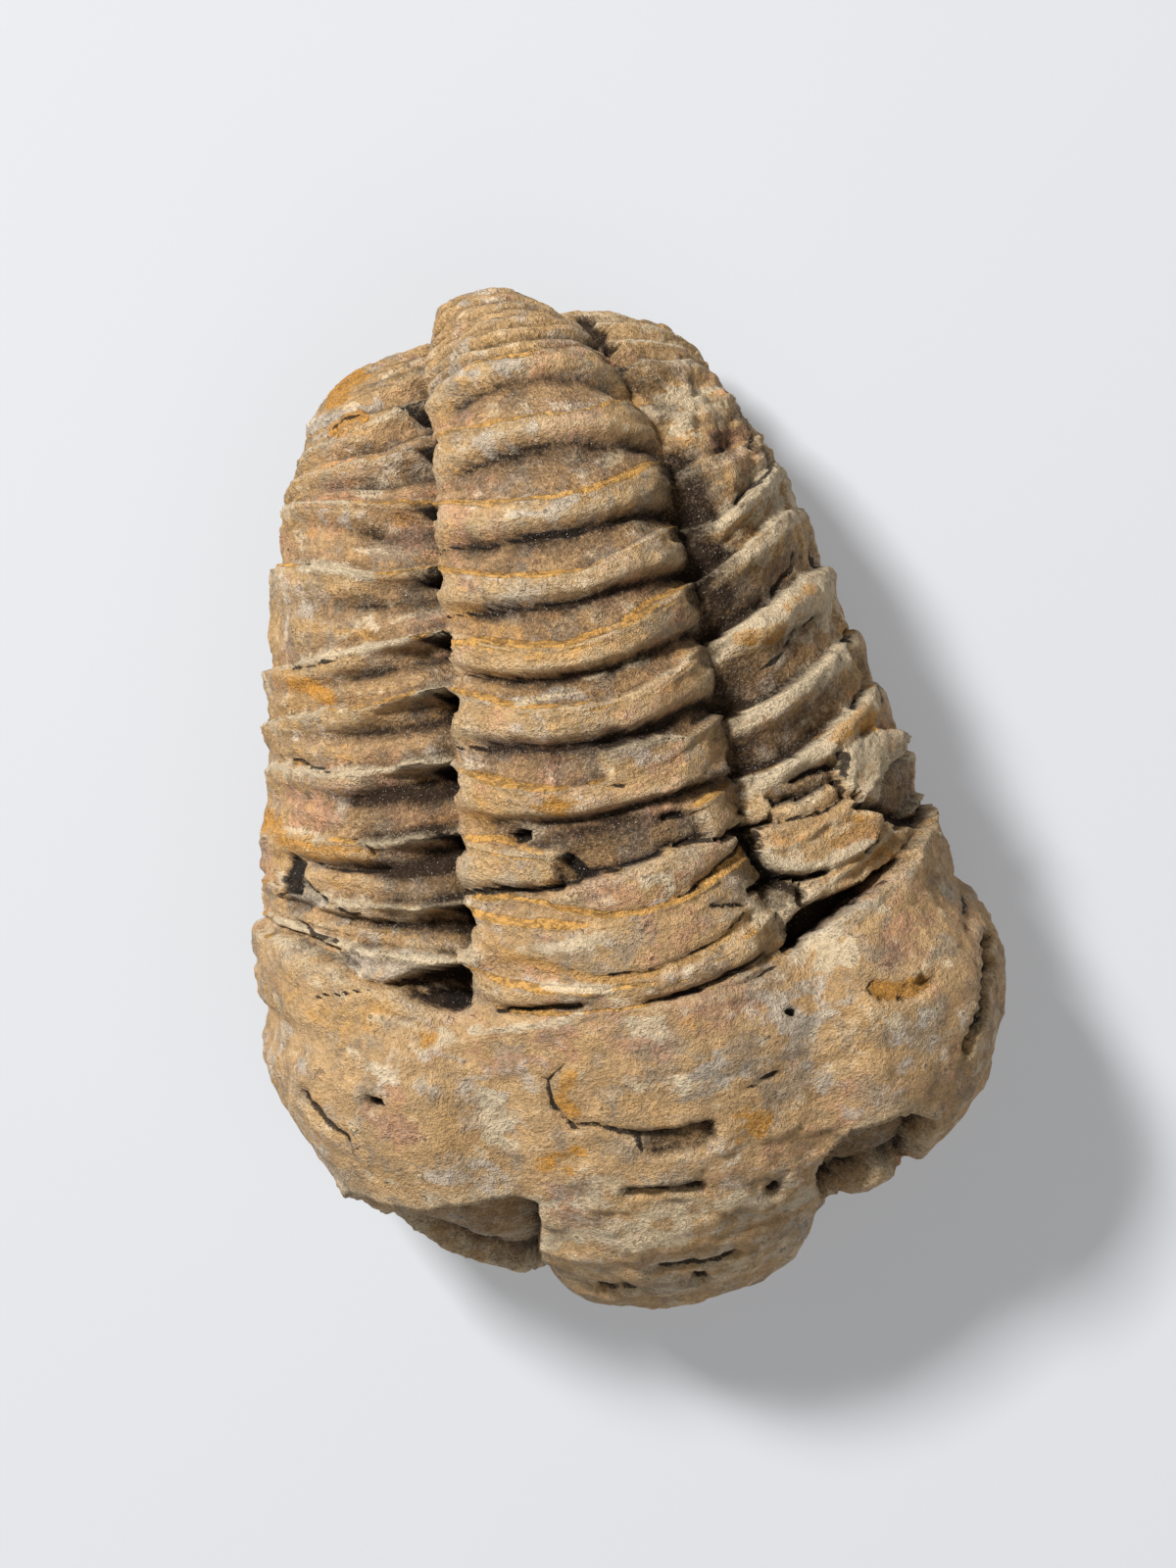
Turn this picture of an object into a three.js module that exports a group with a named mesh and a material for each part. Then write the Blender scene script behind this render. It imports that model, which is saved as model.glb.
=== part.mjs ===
// A curled fossil trilobite: one solid piece of brown stone, lying on its worn belly.
// Millimetres, +Z up. The tail end points along +Y, and z = 0 is the flat it rests on.
//
// The skin is a tube of cross-sections. t is the distance along the back from the edge of
// the head slab, negative over the head and positive over the thorax and tail. Each section
// stands on the belly, leans with the curl of the back, and is spanned across in X.

import * as THREE from "three";

// ---------------------------------------------------------------- driving dimensions

const STONE_COLOUR = 0x9b7f5c;
const STONE_ROUGHNESS = 0.88;

// t, back (y, z), belly (y, z), half width on -X and on +X, share of the height that lies
// under the widest line, squareness of the upper half
const SECTIONS = [
  [-39.0, -23.5, 0.3, -21.5, 0.0, 3.5, 3.5, 0.5, 2.3],
  [-34.0, -28.0, 3.0, -18.5, -0.8, 12.0, 12.0, 0.45, 2.3],
  [-28.0, -29.8, 8.5, -16.0, -0.8, 16.4, 15.8, 0.42, 2.2],
  [-20.3, -28.4, 15.8, -13.5, -0.8, 18.4, 19.2, 0.38, 2.3],
  [-12.3, -23.8, 22.2, -11.0, -0.8, 20.9, 22.6, 0.38, 2.5],
  [-4.6, -16.6, 25.2, -8.5, -0.8, 22.6, 23.2, 0.38, 2.7],
  [0.0, -12.0, 25.3, -6.5, -0.8, 21.8, 21.2, 0.38, 2.6],
  [1.4, -10.6, 25.1, -5.8, -0.8, 22.4, 21.2, 0.38, 2.5],
  [9.8, -2.2, 25.3, -1.6, -0.8, 21.6, 20.6, 0.38, 2.4],
  [17.9, 5.9, 25.2, 3.2, -0.8, 20.4, 19.3, 0.39, 2.4],
  [25.9, 13.8, 24.2, 8.4, -0.8, 19.1, 17.7, 0.41, 2.4],
  [35.6, 22.8, 20.6, 13.4, -0.8, 17.2, 15.5, 0.44, 2.5],
  [40.4, 26.6, 17.6, 15.0, -0.8, 15.9, 14.2, 0.46, 2.6],
  [44.4, 29.2, 14.6, 16.0, -0.8, 14.9, 13.1, 0.48, 2.6],
  [50.9, 31.5, 8.2, 17.4, -0.8, 13.4, 12.0, 0.5, 2.6],
  [56.0, 29.9, 3.4, 19.0, -0.8, 10.2, 9.7, 0.5, 2.4],
  [62.6, 23.8, 0.3, 22.2, 0.0, 2.5, 2.5, 0.5, 2.3],
];

// t of the slab edge, then of the rear lip of each of the thirteen thoracic segments
const LIPS = [0, 1.4, 5.3, 9.8, 13.3, 17.9, 21.7, 25.9, 30.4, 35.6, 40.4, 44.4, 47.6, 50.9];

// [t, value] pairs for what changes along the animal
const FURROW_LEFT = [
  [-39, -2], [-28, -7.6], [-20, -8.3], [-8, -9], [0, -10.6], [1.4, -9.8], [5.3, -9.1],
  [13.3, -8.6], [21.7, -7.5], [30.4, -7], [35.6, -6.2], [44.4, -6], [50.9, -4.8], [62.6, -1.5],
];
const FURROW_RIGHT = [
  [-39, 3], [-28, 8.6], [-20, 10], [-8, 10.4], [0, 11.4], [1.4, 10.2], [5.3, 9.2],
  [13.3, 8.6], [21.7, 8.5], [30.4, 8.1], [35.6, 7.7], [44.4, 5.2], [50.9, 2.4], [62.6, 1.5],
];
const LOBE_HEIGHT = [
  [-39, 0], [-32, 1.8], [-26, 3], [-20, 2.4], [-13, 1.2], [-8, 1], [0, 2.4], [1.4, 3.4],
  [35.6, 3.6], [40.4, 3.8], [47.6, 3.1], [51, 2.3], [56, 1.4], [62.6, 0],
];
const LOBE_SQUARENESS_LEFT = [[0, 2.6], [46, 2.6], [50, 9]];
const LOBE_SQUARENESS_RIGHT = [[0, 2.6], [42, 2.6], [50, 2]];
const LOBE_FADE_LEFT = [
  [-26, 0.6], [-20, 1.6], [-1, 1.8], [1.4, 1.3], [38, 1.2], [42, 1.8], [48, 1.6], [50.5, 0.4],
];
const LOBE_FADE_RIGHT = [
  [-26, 0.6], [-20, 1.6], [-1, 1.8], [1.4, 0.85], [38, 0.8], [42, 1.1], [62, 1.2],
];
const FURROW_DEPTH = [
  [-39, 0], [-30, 1.2], [-24, 1.6], [-19, 0.3], [-13, 0], [0, 0], [1.4, 0.7], [36, 0.7],
  [41, 0.5], [43, 0.2], [62.6, 0],
];
const FURROW_HALF_WIDTH = 0.9;
const RIGHT_FURROW = { halfWidth: 2.4, timesDeeper: 1.7 };
const RING_BOW = [
  [-12, 0], [0, 0.9], [1.4, 2.1], [9.8, 2.3], [13.3, 3.1], [21.7, 3.2], [30.4, 3.2], [35.6, 2.6],
  [40.4, 1.8], [44.4, 0.6], [48, -0.6], [51, -1], [60, 0],
];
const BOW_POWER = 2.2;

// t, then how far the ribs' lines sweep tailward by the rim, the power that they sweep with
// and how far they sag on the way, on -X and then on +X
const RIB_LINES = [
  [-22, 0, 1, 0, 0, 1, 0],
  [0, 6.2, 1, 0, 6.2, 1, 0],
  [1.4, 5, 1.2, 0.3, 5, 1.2, 0.3],
  [5.3, 3.4, 1.6, 0.3, 4.4, 1.6, 0.3],
  [9.8, 2.6, 2.2, 0.3, 6, 1.8, 0.3],
  [13.3, 3.2, 2.2, 0.2, 6, 1.8, 0.3],
  [17.9, 1.8, 2.2, 0.3, 6.8, 1.6, 0.3],
  [21.7, 1.9, 2.2, 0.8, 7.4, 1.3, 0.2],
  [25.9, 6, 2, 0.3, 7.2, 2, 0.3],
  [30.4, 5.4, 1.6, 0.3, 5, 2.2, 0.3],
  [35.6, 2.6, 2.2, 0.9, 4.4, 2.2, 0.3],
  [40.4, 1, 2.2, 1.3, 4, 2.2, 0.3],
  [51, 1, 2.2, 0.5, 3, 2.2, 0.3],
  [61, 0, 1, 0, 0, 1, 0],
];

// Where the dark groove crosses each segment at the midline, from just behind one lip (0) to
// the next (1), and how deep it is there
const GROOVES = [
  [0.02, 0.4], [0.4, 0.5], [0.5, 0.6], [0.45, 1.3], [0.52, 1.5], [0.5, 1.5], [0.6, 1.5],
  [0.6, 1.35], [0.72, 1.1], [0.74, 0.95], [0.45, 0.2], [0.45, 0.15], [0.45, 0.1],
];
const GROOVE_AT_LEFT_END = 0.24;
const GROOVE_AT_RIGHT_END = 0.2;
const LEFT_END_FADE = 0.55;

// Height over the half ring before the groove and over the raised band behind it, each from 0
// to 1 and as a share of the groove's depth
const HALF_RING = [[0, -0.55], [0.1, -0.64], [0.5, -0.76], [0.8, -0.9], [0.93, -1], [1, -1]];
const RING_BAND = [[0, -1], [0.09, -0.75], [0.2, -0.2], [0.32, 0], [1, 0]];

// Height over one rib, from one lip (0) to the next (1), then its size along and out to the rim
const RIB_LEFT_INNER = [
  [0, -0.3], [0.3, -0.7], [0.5, -1.2], [0.7, -1.7], [0.85, -1.6], [0.94, -0.8], [0.975, -0.1],
  [1, 0],
];
const RIB_LEFT_OUTER = [
  [0, -0.3], [0.1, -0.8], [0.28, -0.55], [0.42, -0.6], [0.55, -1.15], [0.72, -0.35], [0.8, 0],
  [1, 0],
];
const RIB_LEFT_ALONG = [[0, 1.5], [8, 1.4], [36, 1.2], [44.4, 0.6], [44.6, 0]];
const RIB_LEFT_OUT = [[0, 1], [0.4, 1], [0.55, 0.8], [0.7, 0.5], [1, 0.15]];
const RIB_LEFT_ROOT = { depth: 0.6, reach: 0.5 };
const RIB_RIGHT = [
  [0, -1.5], [0.05, -1.6], [0.12, -1.5], [0.3, -1.15], [0.55, -0.65], [0.64, -0.15], [0.7, 0.25],
  [0.82, 0.25], [0.94, 0.1], [1, -0.4],
];
const RIB_RIGHT_ALONG = [
  [0, 0.8], [18, 0.95], [22, 0.6], [26, 0.5], [32, 0.4], [44.4, 0.4], [51, 0.2],
];
const RIB_RIGHT_OUT = [[0, 0.8], [0.2, 1], [0.6, 0.9], [0.8, 0.45], [1, 0.3]];

const TAIL_RINGS = [40.4, 41.6, 42.8, 44, 45.2, 46.5, 47.8, 49.1, 50.5, 52, 53.5];
const TAIL_PROFILE = [[0, -0.2], [0.35, -0.34], [0.6, -0.07], [0.8, 0], [1, 0]];

// Slab over the head, the gap under its rear edge, and the two places where the stone broke
// to another level
const SLAB_RISE_AXIS = 0.3;
const SLAB_RISE_CHEEK = 1.6;
const GAP_DEPTH_LEFT = 1.8;
const GAP_DEPTH_RIGHT = 2.2;
const BROKEN_RING = { from: 7.6, to: 11, left: -3.4, right: 6.6, level: -1 };
const SHELL_FLAKE = { from: 5.6, to: 9.4, left: 9.2, right: 16.8, level: 0.3 };

// Mesh rows, and how many columns go round a section
const HEAD_ROWS = [-37.5, -35.5, -33, -30, -26.5, -23, -19.5, -16, -12.5, -9, -5.5, -2.5, -0.4];
const FIRST_SEGMENT_ROWS = [0.05, 0.5, 0.95];
const FULL_SEGMENTS = 10;
const TAIL_RING_ROWS = [0.35, 0.8];
const TAIL_END_ROWS = [54.8, 56.6, 58.6, 60.8];
const BACK_COLUMNS = 38;
const BELLY_COLUMNS = 13;
const BELLY_SQUARENESS = 2.6;

// ------------------------------------------------------------------------- curve tools

const { clamp, lerp, mapLinear, smoothstep } = THREE.MathUtils;

/** Value at x on a smooth curve through rows of [x, ...], reading the given column. */
function smoothCurve(rows, x, column = 1) {
  const last = rows.length - 1;
  if (x <= rows[0][0]) return rows[0][column];
  if (x >= rows[last][0]) return rows[last][column];
  const i = rows.findIndex((row) => row[0] > x) - 1;
  const slope = (k) => {
    const a = rows[Math.max(k - 1, 0)];
    const b = rows[Math.min(k + 1, last)];
    return (b[column] - a[column]) / (b[0] - a[0]);
  };
  const width = rows[i + 1][0] - rows[i][0];
  const s = (x - rows[i][0]) / width;
  const rise = rows[i + 1][column] - rows[i][column];
  const entry = slope(i) * width - rise;
  const exit = rise - slope(i + 1) * width;
  return rows[i][column] + s * rise + s * (1 - s) * ((1 - s) * entry + s * exit);
}

/** Value at x on straight lines between [x, value] pairs. */
function polyline(pairs, x) {
  const last = pairs.length - 1;
  if (x <= pairs[0][0]) return pairs[0][1];
  if (x >= pairs[last][0]) return pairs[last][1];
  const i = pairs.findIndex((pair) => pair[0] > x) - 1;
  return mapLinear(x, pairs[i][0], pairs[i + 1][0], pairs[i][1], pairs[i + 1][1]);
}

// ------------------------------------------------------------------------ base section

/** Plain section at t and angle: where it is, and its own up and outward directions. */
function plainSection(t, angle) {
  const [backY, backZ, bellyY, bellyZ, wideLeft, wideRight, share, square] = [1, 2, 3, 4, 5, 6, 7, 8]
    .map((column) => smoothCurve(SECTIONS, t, column));
  const up = new THREE.Vector3(0, backY - bellyY, backZ - bellyZ);
  const height = up.length();
  up.divideScalar(height);

  const c = Math.cos(angle);
  const s = Math.sin(angle);
  const power = s >= 0 ? square : BELLY_SQUARENESS;
  const halfWidth = c < 0 ? wideLeft : wideRight;
  const halfHeight = height * (s >= 0 ? 1 - share : share);
  const across = Math.sign(c) * Math.abs(c) ** (2 / power);
  const along = Math.sign(s) * Math.abs(s) ** (2 / power);

  const point = new THREE.Vector3(across * halfWidth, bellyY, bellyZ)
    .addScaledVector(up, height * share + along * halfHeight);
  const outward = new THREE.Vector3(Math.sign(across) * Math.abs(across) ** (power - 1) / halfWidth, 0, 0)
    .addScaledVector(up, Math.sign(along) * Math.abs(along) ** (power - 1) / halfHeight)
    .normalize();
  return { point, up, outward, wideLeft, wideRight };
}

/** Place across the body: -1 to 1 between the furrows, and 0 to 1 from a furrow to the rim. */
function acrossBody(t, section) {
  const left = smoothCurve(FURROW_LEFT, t);
  const right = smoothCurve(FURROW_RIGHT, t);
  const middle = (left + right) / 2;
  const lobeHalf = (right - left) / 2;
  const { x } = section.point;
  const side = (x - middle) / lobeHalf;
  const [furrow, rim] = x < middle ? [left, -section.wideLeft] : [right, section.wideRight];
  const flank = clamp((x - furrow) / (rim - furrow), 0, 1);
  return { side, flank, lobeHalf };
}

/** How far tailward the line that crosses the midline at t has moved at this place, in mm. */
function lineShift(t, side, flank) {
  const first = side < 0 ? 1 : 4;
  const [sweep, power, sag] = [0, 1, 2].map((i) => smoothCurve(RIB_LINES, t, first + i));
  const bow = polyline(RING_BOW, t) * Math.min(Math.abs(side), 1) ** BOW_POWER;
  return bow + sweep * flank ** power - sag * Math.sin(Math.PI * flank);
}

/** Height of the long lobe between the furrows, less the depth of the furrow beside it. */
function lobeHeight(t, side, lobeHalf) {
  const [squareness, fade] = side < 0
    ? [LOBE_SQUARENESS_LEFT, LOBE_FADE_LEFT] : [LOBE_SQUARENESS_RIGHT, LOBE_FADE_RIGHT];
  const lobe = Math.abs(side);
  const arch = Math.max(1 - lobe ** polyline(squareness, t), 0) ** polyline(fade, t);
  const halfWidth = side > 1 ? RIGHT_FURROW.halfWidth : FURROW_HALF_WIDTH;
  const depth = polyline(FURROW_DEPTH, t) * (side > 1 ? RIGHT_FURROW.timesDeeper : 1);
  const valley = depth * Math.exp(-((((lobe - 1) * lobeHalf) / halfWidth) ** 2));
  return polyline(LOBE_HEIGHT, t) * arch - valley;
}

// ----------------------------------------------------------------------- relief on it

/** Segment that t lies in and how far through it, from 0 to 1, or null outside the lines. */
function segmentOf(t, lines) {
  const next = lines.findIndex((line) => line > t);
  if (next < 1) return null;
  return { index: next - 1, place: (t - lines[next - 1]) / (lines[next] - lines[next - 1]) };
}

/** Half ring, groove and raised band of one segment between the furrows. */
function ringHeight({ index, place }, side) {
  const [middle, depth] = GROOVES[index];
  const end = side < 0 ? GROOVE_AT_LEFT_END : GROOVE_AT_RIGHT_END;
  const groove = lerp(middle, end, Math.min(Math.abs(side), 1) ** BOW_POWER);
  const share = place < groove ? polyline(HALF_RING, place / groove)
    : polyline(RING_BAND, (place - groove) / (1 - groove));
  return share * depth * (1 - LEFT_END_FADE * smoothstep(-side, 0.7, 0.95));
}

/** Furrow and ledge of one rib on -X. */
function leftRibHeight(t, place, flank) {
  const inner = polyline(RIB_LEFT_INNER, place);
  const outer = polyline(RIB_LEFT_OUTER, place);
  const size = polyline(RIB_LEFT_ALONG, t) * polyline(RIB_LEFT_OUT, flank);
  const root = RIB_LEFT_ROOT.depth * Math.max(1 - flank / RIB_LEFT_ROOT.reach, 0) ** 1.5;
  return lerp(inner, outer, smoothstep(flank, 0.15, 0.55)) * size - root;
}

/** Furrow and ledge of one rib on +X. */
function rightRibHeight(t, place, flank) {
  return polyline(RIB_RIGHT, place) * polyline(RIB_RIGHT_ALONG, t) * polyline(RIB_RIGHT_OUT, flank);
}

/** Height of rings, ribs and tail rings above the smooth back. */
function ringRelief(t, side, flank) {
  const segment = segmentOf(t, LIPS);
  const onRib = smoothstep(Math.abs(side), 0.95, 1.04);
  const rib = side < 0 ? leftRibHeight : rightRibHeight;
  const thorax = segment === null ? 0
    : lerp(ringHeight(segment, side), rib(t, segment.place, flank), onRib);
  const tailRing = segmentOf(t, TAIL_RINGS);
  const tail = tailRing === null ? 0 : polyline(TAIL_PROFILE, tailRing.place) * (1 - onRib);
  return thorax + tail;
}

/** The worn slab over the head, and the gap under its rear edge. */
function headRelief(t, side, flank) {
  const onCheek = smoothstep(flank, 0, 0.3) * (1 - 0.75 * smoothstep(flank, 0.7, 1));
  const rise = lerp(SLAB_RISE_AXIS, SLAB_RISE_CHEEK, onCheek);
  const slab = rise * smoothstep(-t, 0, 0.3) * smoothstep(t, -24, -14);
  const open = side > 0 ? 1 - smoothstep(flank, 0.6, 0.85) : 1 - smoothstep(flank, 0.2, 0.32);
  const depth = (side > 0 ? GAP_DEPTH_RIGHT : GAP_DEPTH_LEFT) * smoothstep(flank, 0, 0.1) * open;
  return slab - depth * smoothstep(t, 0, 0.05) * (1 - smoothstep(t, 0.4, 1.1));
}

/** Relief after the broken ring and the flake of shell beside it are set to their own level. */
function damagedRelief(relief, t, x) {
  const broken = [BROKEN_RING, SHELL_FLAKE].find((area) => (
    t > area.from && t < area.to && x > area.left && x < area.right
  ));
  return broken === undefined ? relief : broken.level;
}

// ------------------------------------------------------------------------------- skin

/** Point of the finished skin on the line t, at an angle round the section. */
function skinPoint(t, angle) {
  const start = plainSection(t, angle);
  const startPlace = acrossBody(t, start);
  const upperSide = smoothstep(Math.sin(angle), -0.6, 0);
  const moved = t + lineShift(t, startPlace.side, startPlace.flank) * upperSide;

  const section = plainSection(moved, angle);
  const { side, flank, lobeHalf } = acrossBody(moved, section);
  const onBack = smoothstep(Math.sin(angle), -0.05, 0.1);
  const ribFade = smoothstep(Math.sin(angle), -0.4, 0.1);
  const relief = ringRelief(t, side, flank) + headRelief(t, side, flank);

  const point = section.point.clone()
    .addScaledVector(section.up, lobeHeight(moved, side, lobeHalf) * onBack)
    .addScaledVector(section.outward, damagedRelief(relief, moved, section.point.x) * ribFade);
  point.z = Math.max(point.z, 0);
  return point;
}

/** Angles round one section: close together on the back, wide apart on the belly. */
function sectionAngles() {
  const angles = [];
  for (let i = 0; i < BACK_COLUMNS; i += 1) angles.push((Math.PI * i) / BACK_COLUMNS);
  for (let i = 0; i < BELLY_COLUMNS; i += 1) angles.push(Math.PI * (1 + i / BELLY_COLUMNS));
  return angles;
}

/** Shares of a segment that carry mesh rows: at its lips, its groove and the band behind it. */
function segmentRows(index) {
  if (index === 0) return FIRST_SEGMENT_ROWS;
  const groove = GROOVES[index][0];
  return [0.04, groove / 2, groove - 0.02, groove + 0.2 * (1 - groove), 0.86, 0.97];
}

/** Lines t that carry the rows of the mesh, from the head end to the tail end. */
function meshLines() {
  const between = (lines, rows) => lines.slice(1).flatMap((line, i) => (
    rows(i).map((share) => lerp(lines[i], line, share))
  ));
  const thorax = between(LIPS.slice(0, FULL_SEGMENTS + 1), segmentRows);
  const tail = between(TAIL_RINGS, () => TAIL_RING_ROWS);
  const ends = [SECTIONS[0][0], SECTIONS[SECTIONS.length - 1][0]];
  return [ends[0], ...HEAD_ROWS, ...thorax, ...tail, ...TAIL_END_ROWS, ends[1]];
}

/** Closed skin: rows of points joined by triangles, with a flat fan at each end. */
function buildSkin() {
  const angles = sectionAngles();
  const lines = meshLines();
  const rows = lines.map((t) => angles.map((angle) => skinPoint(t, angle)));
  const points = rows.flat();
  const triangles = [];
  const n = angles.length;

  for (let row = 0; row < rows.length - 1; row += 1) {
    for (let i = 0; i < n; i += 1) {
      const a = row * n + i;
      const b = row * n + ((i + 1) % n);
      triangles.push(a, a + n, b + n, a, b + n, b);
    }
  }
  const addCap = (row, flip) => {
    const centre = new THREE.Vector3();
    rows[row].forEach((point) => centre.addScaledVector(point, 1 / n));
    points.push(centre);
    for (let i = 0; i < n; i += 1) {
      const a = row * n + i;
      const b = row * n + ((i + 1) % n);
      triangles.push(points.length - 1, ...(flip ? [b, a] : [a, b]));
    }
  };
  addCap(0, false);
  addCap(rows.length - 1, true);

  const geometry = new THREE.BufferGeometry().setFromPoints(points);
  geometry.setIndex(triangles);
  geometry.computeVertexNormals();
  return geometry;
}

// --------------------------------------------------------------------------- the part

const stone = new THREE.MeshStandardMaterial({
  color: STONE_COLOUR,
  roughness: STONE_ROUGHNESS,
  metalness: 0,
});
const trilobite = new THREE.Mesh(buildSkin(), stone);
trilobite.name = "trilobite";

const part = new THREE.Group();
part.add(trilobite);

export default part;
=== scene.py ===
"""A curled fossil trilobite in weathered brown stone, sculpted as one piece over its CAD solid.

Lengths are in millimetres until the mesh is made, and the mesh is in metres. t is the distance
along the back from the edge of the head slab, negative over the head. A plan place (x, y) is
where a point of the skin is seen from PLAN_EYE straight above the surface that it rests on.
"""

import math

import bmesh
import bpy
import numpy as np
from bpy.props import FloatProperty, FloatVectorProperty, PointerProperty
from bpy.types import Operator, Panel, PropertyGroup
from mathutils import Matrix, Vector


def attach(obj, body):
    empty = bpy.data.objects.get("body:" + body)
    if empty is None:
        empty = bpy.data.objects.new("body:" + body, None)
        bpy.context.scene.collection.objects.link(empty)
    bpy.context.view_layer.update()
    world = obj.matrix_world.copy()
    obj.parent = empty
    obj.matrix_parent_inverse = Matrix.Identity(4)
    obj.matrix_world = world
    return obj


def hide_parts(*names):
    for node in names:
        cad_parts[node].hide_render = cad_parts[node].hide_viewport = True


bl_info = {
    "name": "Curled fossil trilobite",
    "version": (1, 0, 0),
    "blender": (4, 5, 0),
    "location": "View3D > Sidebar > Fossil",
    "description": "Builds a curled fossil trilobite in weathered brown stone",
    "category": "Add Mesh",
}

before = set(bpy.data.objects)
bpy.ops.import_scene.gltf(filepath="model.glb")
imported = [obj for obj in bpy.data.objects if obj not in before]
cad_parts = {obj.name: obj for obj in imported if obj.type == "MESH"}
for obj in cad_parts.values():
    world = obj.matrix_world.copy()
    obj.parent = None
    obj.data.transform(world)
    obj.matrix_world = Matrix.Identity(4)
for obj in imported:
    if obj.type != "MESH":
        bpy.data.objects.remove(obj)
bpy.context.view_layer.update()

MM = 0.001
PLAN_EYE = 400.0
PLAN_LEVEL = 12.0
PLAN_CENTRE = (-0.1, 1.4)

# ------------------------------------------------------------------ the form of the body

# t, back (y, z), belly (y, z), half width on -X and on +X, share of the height that lies
# under the widest line, squareness of the upper half
SECTIONS = np.array([
    (-39.0, -23.5, 0.3, -21.5, 0.0, 3.5, 3.5, 0.5, 2.3),
    (-34.0, -28.0, 3.0, -18.5, -0.8, 12.0, 12.0, 0.45, 2.3),
    (-28.0, -29.8, 8.5, -16.0, -0.8, 16.4, 15.8, 0.42, 2.2),
    (-20.3, -28.4, 15.8, -13.5, -0.8, 18.4, 19.2, 0.38, 2.3),
    (-12.3, -23.8, 22.2, -11.0, -0.8, 20.9, 22.6, 0.38, 2.5),
    (-4.6, -16.6, 25.2, -8.5, -0.8, 22.6, 23.2, 0.38, 2.7),
    (0.0, -12.0, 25.3, -6.5, -0.8, 21.8, 21.2, 0.38, 2.6),
    (1.4, -10.6, 25.1, -5.8, -0.8, 22.4, 21.2, 0.38, 2.5),
    (9.8, -2.2, 25.3, -1.6, -0.8, 21.6, 20.6, 0.38, 2.4),
    (17.9, 5.9, 25.2, 3.2, -0.8, 20.4, 19.3, 0.39, 2.4),
    (25.9, 13.8, 24.2, 8.4, -0.8, 19.1, 17.7, 0.41, 2.4),
    (35.6, 22.8, 20.6, 13.4, -0.8, 17.2, 15.5, 0.44, 2.5),
    (40.4, 26.6, 17.6, 15.0, -0.8, 15.9, 14.2, 0.46, 2.6),
    (44.4, 29.2, 14.6, 16.0, -0.8, 14.9, 13.1, 0.48, 2.6),
    (50.9, 31.5, 8.2, 17.4, -0.8, 13.4, 12.0, 0.5, 2.6),
    (56.0, 29.9, 3.4, 19.0, -0.8, 10.2, 9.7, 0.5, 2.4),
    (62.6, 23.8, 0.3, 22.2, 0.0, 2.5, 2.5, 0.5, 2.3),
])

# t of the slab edge, then of the rear lip of each of the thirteen thoracic segments
LIPS = np.array([0, 1.4, 5.3, 9.8, 13.3, 17.9, 21.7, 25.9, 30.4, 35.6, 40.4, 44.4, 47.6, 50.9])

# (t, value) pairs for what changes along the animal
FURROW_LEFT = np.array([
    (-39, -2), (-28, -7.6), (-20, -8.3), (-8, -9), (0, -10.6), (1.4, -9.8), (5.3, -9.1),
    (13.3, -8.6), (21.7, -7.5), (30.4, -7), (35.6, -6.2), (44.4, -6), (50.9, -4.8), (62.6, -1.5),
])
FURROW_RIGHT = np.array([
    (-39, 3), (-28, 8.6), (-20, 10), (-8, 10.4), (0, 11.4), (1.4, 10.2), (5.3, 9.2),
    (13.3, 8.6), (21.7, 8.5), (30.4, 8.1), (35.6, 7.7), (44.4, 5.2), (50.9, 2.4), (62.6, 1.5),
])
LOBE_HEIGHT = [
    (-39, 0), (-32, 1.8), (-26, 3), (-20, 2.4), (-13, 1.2), (-8, 1.0), (0, 2.4), (1.4, 3.4),
    (35.6, 3.6), (40.4, 3.8), (47.6, 3.1), (51, 2.3), (56, 1.4), (62.6, 0),
]
FURROW_DEPTH = [
    (-39, 0), (-30, 1.2), (-24, 1.6), (-19, 0.3), (-13, 0), (0, 0), (1.4, 0.7), (36, 0.7),
    (41, 0.5), (43, 0.2), (62.6, 0),
]
RING_BOW = [
    (-12, 0), (0, 0.9), (1.4, 2.1), (9.8, 2.3), (13.3, 3.1), (21.7, 3.2), (30.4, 3.2), (35.6, 2.6),
    (40.4, 1.8), (44.4, 0.6), (48, -0.6), (51, -1), (60, 0),
]
# t, then how far the ribs' lines sweep tailward by the rim, the power that they sweep with and
# how far they sag on the way, on -X and then on +X
RIB_LINES = np.array([
    (-22, 0, 1, 0, 0, 1, 0),
    (0, 6.2, 1, 0, 6.2, 1, 0),
    (1.4, 5, 1.2, 0.3, 5, 1.2, 0.3),
    (5.3, 3.4, 1.6, 0.3, 4.4, 1.6, 0.3),
    (9.8, 2.6, 2.2, 0.3, 6, 1.8, 0.3),
    (13.3, 3.2, 2.2, 0.2, 6, 1.8, 0.3),
    (17.9, 1.8, 2.2, 0.3, 6.8, 1.6, 0.3),
    (21.7, 1.9, 2.2, 0.8, 7.4, 1.3, 0.2),
    (25.9, 6, 2, 0.3, 7.2, 2, 0.3),
    (30.4, 5.4, 1.6, 0.3, 5, 2.2, 0.3),
    (35.6, 2.6, 2.2, 0.9, 4.4, 2.2, 0.3),
    (40.4, 1, 2.2, 1.3, 4, 2.2, 0.3),
    (51, 1, 2.2, 0.5, 3, 2.2, 0.3),
    (61, 0, 1, 0, 0, 1, 0),
], float)
BOW_POWER = 2.2
FURROW_HALF_WIDTH = (0.9, 2.4)
RIGHT_FURROW_SHARE = 1.7
LOBE_SQUARENESS_LEFT = [(0, 2.6), (46, 2.6), (50, 9)]
LOBE_SQUARENESS_RIGHT = [(0, 2.6), (42, 2.6), (50, 2)]
LOBE_FADE_LEFT = [
    (-26, 0.6), (-20, 1.6), (-1, 1.8), (1.4, 1.3), (38, 1.2), (42, 1.8), (48, 1.6), (50.5, 0.4),
]
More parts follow.
